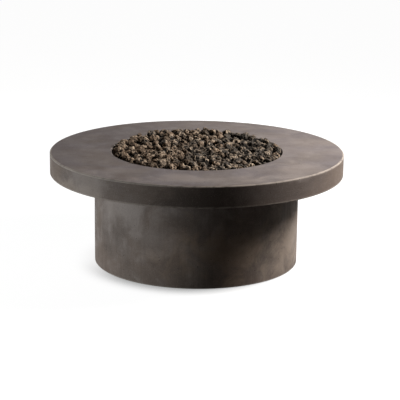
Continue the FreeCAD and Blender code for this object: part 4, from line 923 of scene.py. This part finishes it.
def lava():
    """Brown to grey stones with tan ridges and black pits."""
    material, tree, shader = new_material("lava_rock")
    clouds = use_group(tree, TONE_CLOUDS, Size=LAVA_CLOUDS)
    small = clouds.outputs["Small"]
    tone = attribute(tree, "tone")
    hollow = attribute(tree, "hollow")
    body = mixed(tree, ranged(tree, tone, *BROWN_TO_GREY), LAVA_BROWN, LAVA_GREY)
    # Tan weathering on the ridges, which also paints a highlight there.
    tan = math_node(tree, "MULTIPLY", ranged(tree, clouds.outputs["Broad"], *TAN_CLOUD),
                    ranged(tree, hollow, *TAN_RIDGE_HIGHLIGHT))
    pale = attribute(tree, "pale")
    tan = math_node(tree, "MULTIPLY", tan, ranged(tree, pale, *TAN_STONE))
    body = mixed(tree, tan, body, LAVA_TAN)
    # Painted shade deep in the bed, where the stones shade one another.
    sunk = attribute(tree, "sunk")
    blacks = ((pale, BLACK_STONE), (small, BLACK_CLOUD), (hollow, BLACK_PIT), (sunk, BLACK_SUNK))
    for source, numbers in blacks:
        body = mixed(tree, ranged(tree, source, *numbers), body, LAVA_BLACK)
    darkened_part = use_group(tree, SOFT_PATCH, **DARK_STONES)
    darkening = math_node(tree, "MULTIPLY", darkened_part.outputs["Patch"], DARK_STONES_STRENGTH)
    body = mixed(tree, darkening, body, LAVA_BLACK)
    link(tree, body, shader.inputs["Base Color"])
    shader.inputs["Roughness"].default_value = LAVA_ROUGHNESS
    shader.inputs["Specular IOR Level"].default_value = LAVA_GLOSS
    bump = add(tree, "ShaderNodeBump", **LAVA_BUMP)
    link(tree, small, bump.inputs["Height"])
    link(tree, bump.outputs[0], shader.inputs["Normal"])
    return material


lava_finish = lava()
for piece in bed:
    piece.data.materials.append(lava_finish)
    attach(piece, "base")
    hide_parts("lava_rocks")

# %% [markdown]
# ## Metals, rubber, plastic and ceramic
#
# At the rear and inside the drum are sheet steel, brass fittings, rubber and plastic. Metal is told from
# paint by its shine: rolled sheet carries fine brush lines that spread the shine one way, a cast fitting
# is rough, and brass is warm and a little tarnished where it isn't handled. The pan and the burner sit
# in the fire, and heat has tinted them brown; their dark colour is also painted shade, for they lie in
# shade under the stones.

# %% Metal, rubber, plastic and ceramic finishes
METAL_CLOUDS = 2.2
BRUSH_LINES = {"Across": 900.0, "Along": 12.0}
TARNISH_CLOUD = (0.40, 0.76, 0.0, 0.45)
TARNISH_LINES = (0.36, 0.66)
CAST_BUMP = {"Strength": 0.5, "Distance": 0.0005}
ROLLED_BUMP = {"Strength": 0.2, "Distance": 0.0001}
PLAIN_CLOUDS = 5.0
PLAIN_TONE = (0.35, 0.75)
PLAIN_ROUGHER = (0.3, 0.7)
PLAIN_VARIES = 0.06
PLAIN_GRAIN_DEPTH = 0.0003


def metal(name, color, tarnish, roughness, streak, brush, direction="Upright", cast=False):
    """Metal whose clouds and brushed lines both show the tarnish; a cast one is rough and paint-like."""
    material, tree, shader = new_material(name)
    clouds = use_group(tree, TONE_CLOUDS, Size=METAL_CLOUDS)
    streaks = use_group(tree, FINE_STREAKS, **BRUSH_LINES)
    lines = streaks.outputs[direction]
    body = mixed(tree, ranged(tree, clouds.outputs["Small"], *TARNISH_CLOUD), color, tarnish)
    body = mixed(tree, ranged(tree, lines, *TARNISH_LINES, 0.0, brush), body, tarnish)
    link(tree, body, shader.inputs["Base Color"])
    shader.inputs["Metallic"].default_value = 0.0 if cast else 1.0
    spread = math_node(tree, "ADD", math_node(tree, "MULTIPLY", lines, streak), roughness)
    link(tree, spread, shader.inputs["Roughness"])
    bump = add(tree, "ShaderNodeBump", **(CAST_BUMP if cast else ROLLED_BUMP))
    link(tree, clouds.outputs["Speckle"] if cast else lines, bump.inputs["Height"])
    link(tree, bump.outputs[0], shader.inputs["Normal"])
    return material


def plain(name, color, spot_color, roughness, grain):
    """Rubber, plastic and ceramic: one colour with faint clouds and a fine grain."""
    material, tree, shader = new_material(name)
    clouds = use_group(tree, TONE_CLOUDS, Size=PLAIN_CLOUDS)
    body = mixed(tree, ranged(tree, clouds.outputs["Small"], *PLAIN_TONE), color, spot_color)
    link(tree, body, shader.inputs["Base Color"])
    rough = ranged(tree, clouds.outputs["Broad"], *PLAIN_ROUGHER, roughness - PLAIN_VARIES,
                   roughness + PLAIN_VARIES)
    link(tree, rough, shader.inputs["Roughness"])
    bump = add(tree, "ShaderNodeBump", Strength=grain, Distance=PLAIN_GRAIN_DEPTH)
    link(tree, clouds.outputs["Speckle"], bump.inputs["Height"])
    link(tree, bump.outputs[0], shader.inputs["Normal"])
    return material


stainless = metal("brushed_stainless", (0.40, 0.39, 0.375), (0.27, 0.262, 0.25),
                  roughness=0.30, streak=0.20, brush=0.55, direction="Level")
# Heat tint and painted shade: dark steel for the pan and burner that lie under the stones.
heat_tint_and_shade_steel = metal("heat_tint_and_shade_stainless", (0.21, 0.19, 0.17), (0.09, 0.075, 0.06),
               roughness=0.42, streak=0.20, brush=0.45, direction="Level")
zinc = metal("zinc_plate", (0.38, 0.39, 0.40), (0.26, 0.26, 0.26),
             roughness=0.40, streak=0.12, brush=0.20)
brass = metal("brass_fitting", (0.56, 0.40, 0.17), (0.36, 0.25, 0.11),
              roughness=0.22, streak=0.08, brush=0.08)
black_iron = metal("black_iron", (0.035, 0.035, 0.037), (0.06, 0.05, 0.045),
                   roughness=0.50, streak=0.10, brush=0.0, cast=True)
hose_braid = metal("steel_braid", (0.42, 0.42, 0.42), (0.20, 0.20, 0.20),
                   roughness=0.32, streak=0.20, brush=0.55)
lever_coat = plain("yellow_dipped_lever", (0.70, 0.42, 0.03), (0.58, 0.34, 0.03),
                   roughness=0.38, grain=0.1)
black_plastic = plain("black_plastic", (0.022, 0.022, 0.024), (0.035, 0.035, 0.036),
                      roughness=0.42, grain=0.25)
black_rubber = plain("black_rubber", (0.028, 0.027, 0.026), (0.05, 0.048, 0.046),
                     roughness=0.75, grain=0.3)
white_ceramic = plain("white_ceramic", (0.78, 0.75, 0.68), (0.60, 0.55, 0.46),
                      roughness=0.35, grain=0.1)

dress(stainless, "door_frame", "access_door", "hinge_leaf_frame", "hinge_leaf_door", "hinge_pin",
      "frame_screws", "control_screws", "door_latch", "latch_cam", "valve_stem", "stem_collar")
# The pan and burner get the heat tint and painted shade.
dress(heat_tint_and_shade_steel, "burner_pan", "burner")
dress(zinc, "levelling_foot_1", "levelling_foot_2", "levelling_foot_3", "levelling_foot_4",
      "foot_inserts", "burner_pipe", "pan_nuts", "panel_nuts", "gas_riser")
dress(black_iron, "elbow", "inlet_elbow", "air_mixer", "air_shutter")
dress(brass, "gas_jet", "gas_valve", "gas_inlet", "shutoff_valve", "hose_nuts")
dress(lever_coat, "shutoff_lever")
dress(black_plastic, "igniter_body", "igniter_button")
dress(white_ceramic, "electrode")
dress(black_rubber, "bearing_pads")
braided_hose.data.materials.append(hose_braid)
spark_lead.data.materials.append(black_rubber)

# %% [markdown]
# ## Marks of the gas control
#
# The knob carries a pale pointer and the plate under it a printed ring with a mark at both ends of the
# turn. They are painted on, so they are colour in the finish and not shapes. Each is drawn in a frame
# that is turned with the plate: how far aside of the knob's axis, and how far above it.

# %% Pointer and printed ring
CONTROL_TURN = math.radians(42)
KNOB_HEIGHT = 0.215
POINTER_HALF_WIDTH = 0.0011
POINTER_REACH = (0.0075, 0.0400)
RING_RADIUS = 0.0275
RING_HALF_WIDTH = 0.0005
MARK_HALF_WIDTH = 0.0011
MARK_REACH = (0.0275, 0.0315)
PRINT_BLACK = (0.015, 0.015, 0.015)
PRINT_WHITE = (0.72, 0.71, 0.68)


def control_frame(tree):
    """How far aside and how far above the knob's axis a point lies."""
    place = add(tree, "ShaderNodeTexCoord")
    turned = add(tree, "ShaderNodeVectorRotate", rotation_type="Z_AXIS", Angle=CONTROL_TURN)
    link(tree, place.outputs["Object"], turned.inputs["Vector"])
    split = add(tree, "ShaderNodeSeparateXYZ")
    link(tree, turned.outputs[0], split.inputs[0])
    return split.outputs[0], math_node(tree, "SUBTRACT", split.outputs[2], KNOB_HEIGHT)


def between(tree, source, low, high):
    """1 where the value lies between two limits, else 0."""
    return math_node(tree, "MULTIPLY", math_node(tree, "GREATER_THAN", source, low),
                     math_node(tree, "LESS_THAN", source, high))


def printed(material, ink, mask_of):
    """A copy of a finish with ink where the mask is 1."""
    marked = material.copy()
    tree = marked.node_tree
    shader = tree.nodes["Principled BSDF"]
    plain_color = shader.inputs["Base Color"].links[0].from_socket
    mask = mask_of(tree)
    link(tree, mixed(tree, mask, plain_color, ink), shader.inputs["Base Color"])
    if shader.inputs["Metallic"].default_value:
        link(tree, math_node(tree, "SUBTRACT", 1.0, mask), shader.inputs["Metallic"])
    return marked


def pointer_mask(tree):
    aside, above_axis = control_frame(tree)
    return math_node(tree, "MULTIPLY", between(tree, aside, -POINTER_HALF_WIDTH, POINTER_HALF_WIDTH),
                     between(tree, above_axis, *POINTER_REACH))


def ring_mask(tree):
    aside, above_axis = control_frame(tree)
    out = math_node(tree, "POWER", math_node(tree, "ADD", math_node(tree, "POWER", aside, 2),
                                             math_node(tree, "POWER", above_axis, 2)), 0.5)
    ring = between(tree, out, RING_RADIUS - RING_HALF_WIDTH, RING_RADIUS + RING_HALF_WIDTH)
    mark = math_node(tree, "MULTIPLY", between(tree, aside, -MARK_HALF_WIDTH, MARK_HALF_WIDTH),
                     between(tree, out, *MARK_REACH))
    return math_node(tree, "MAXIMUM", ring, mark)


dress(printed(black_plastic, PRINT_WHITE, pointer_mask), "control_knob")
dress(printed(stainless, PRINT_BLACK, ring_mask), "control_plate")
print("marks: pointer and ring at height", KNOB_HEIGHT)

# %% [markdown]
# ## Colours as written
#
# The colours are shown as they are written.

# %% Finish
bpy.context.scene.view_settings.view_transform = "Standard"
bpy.context.view_layer.update()
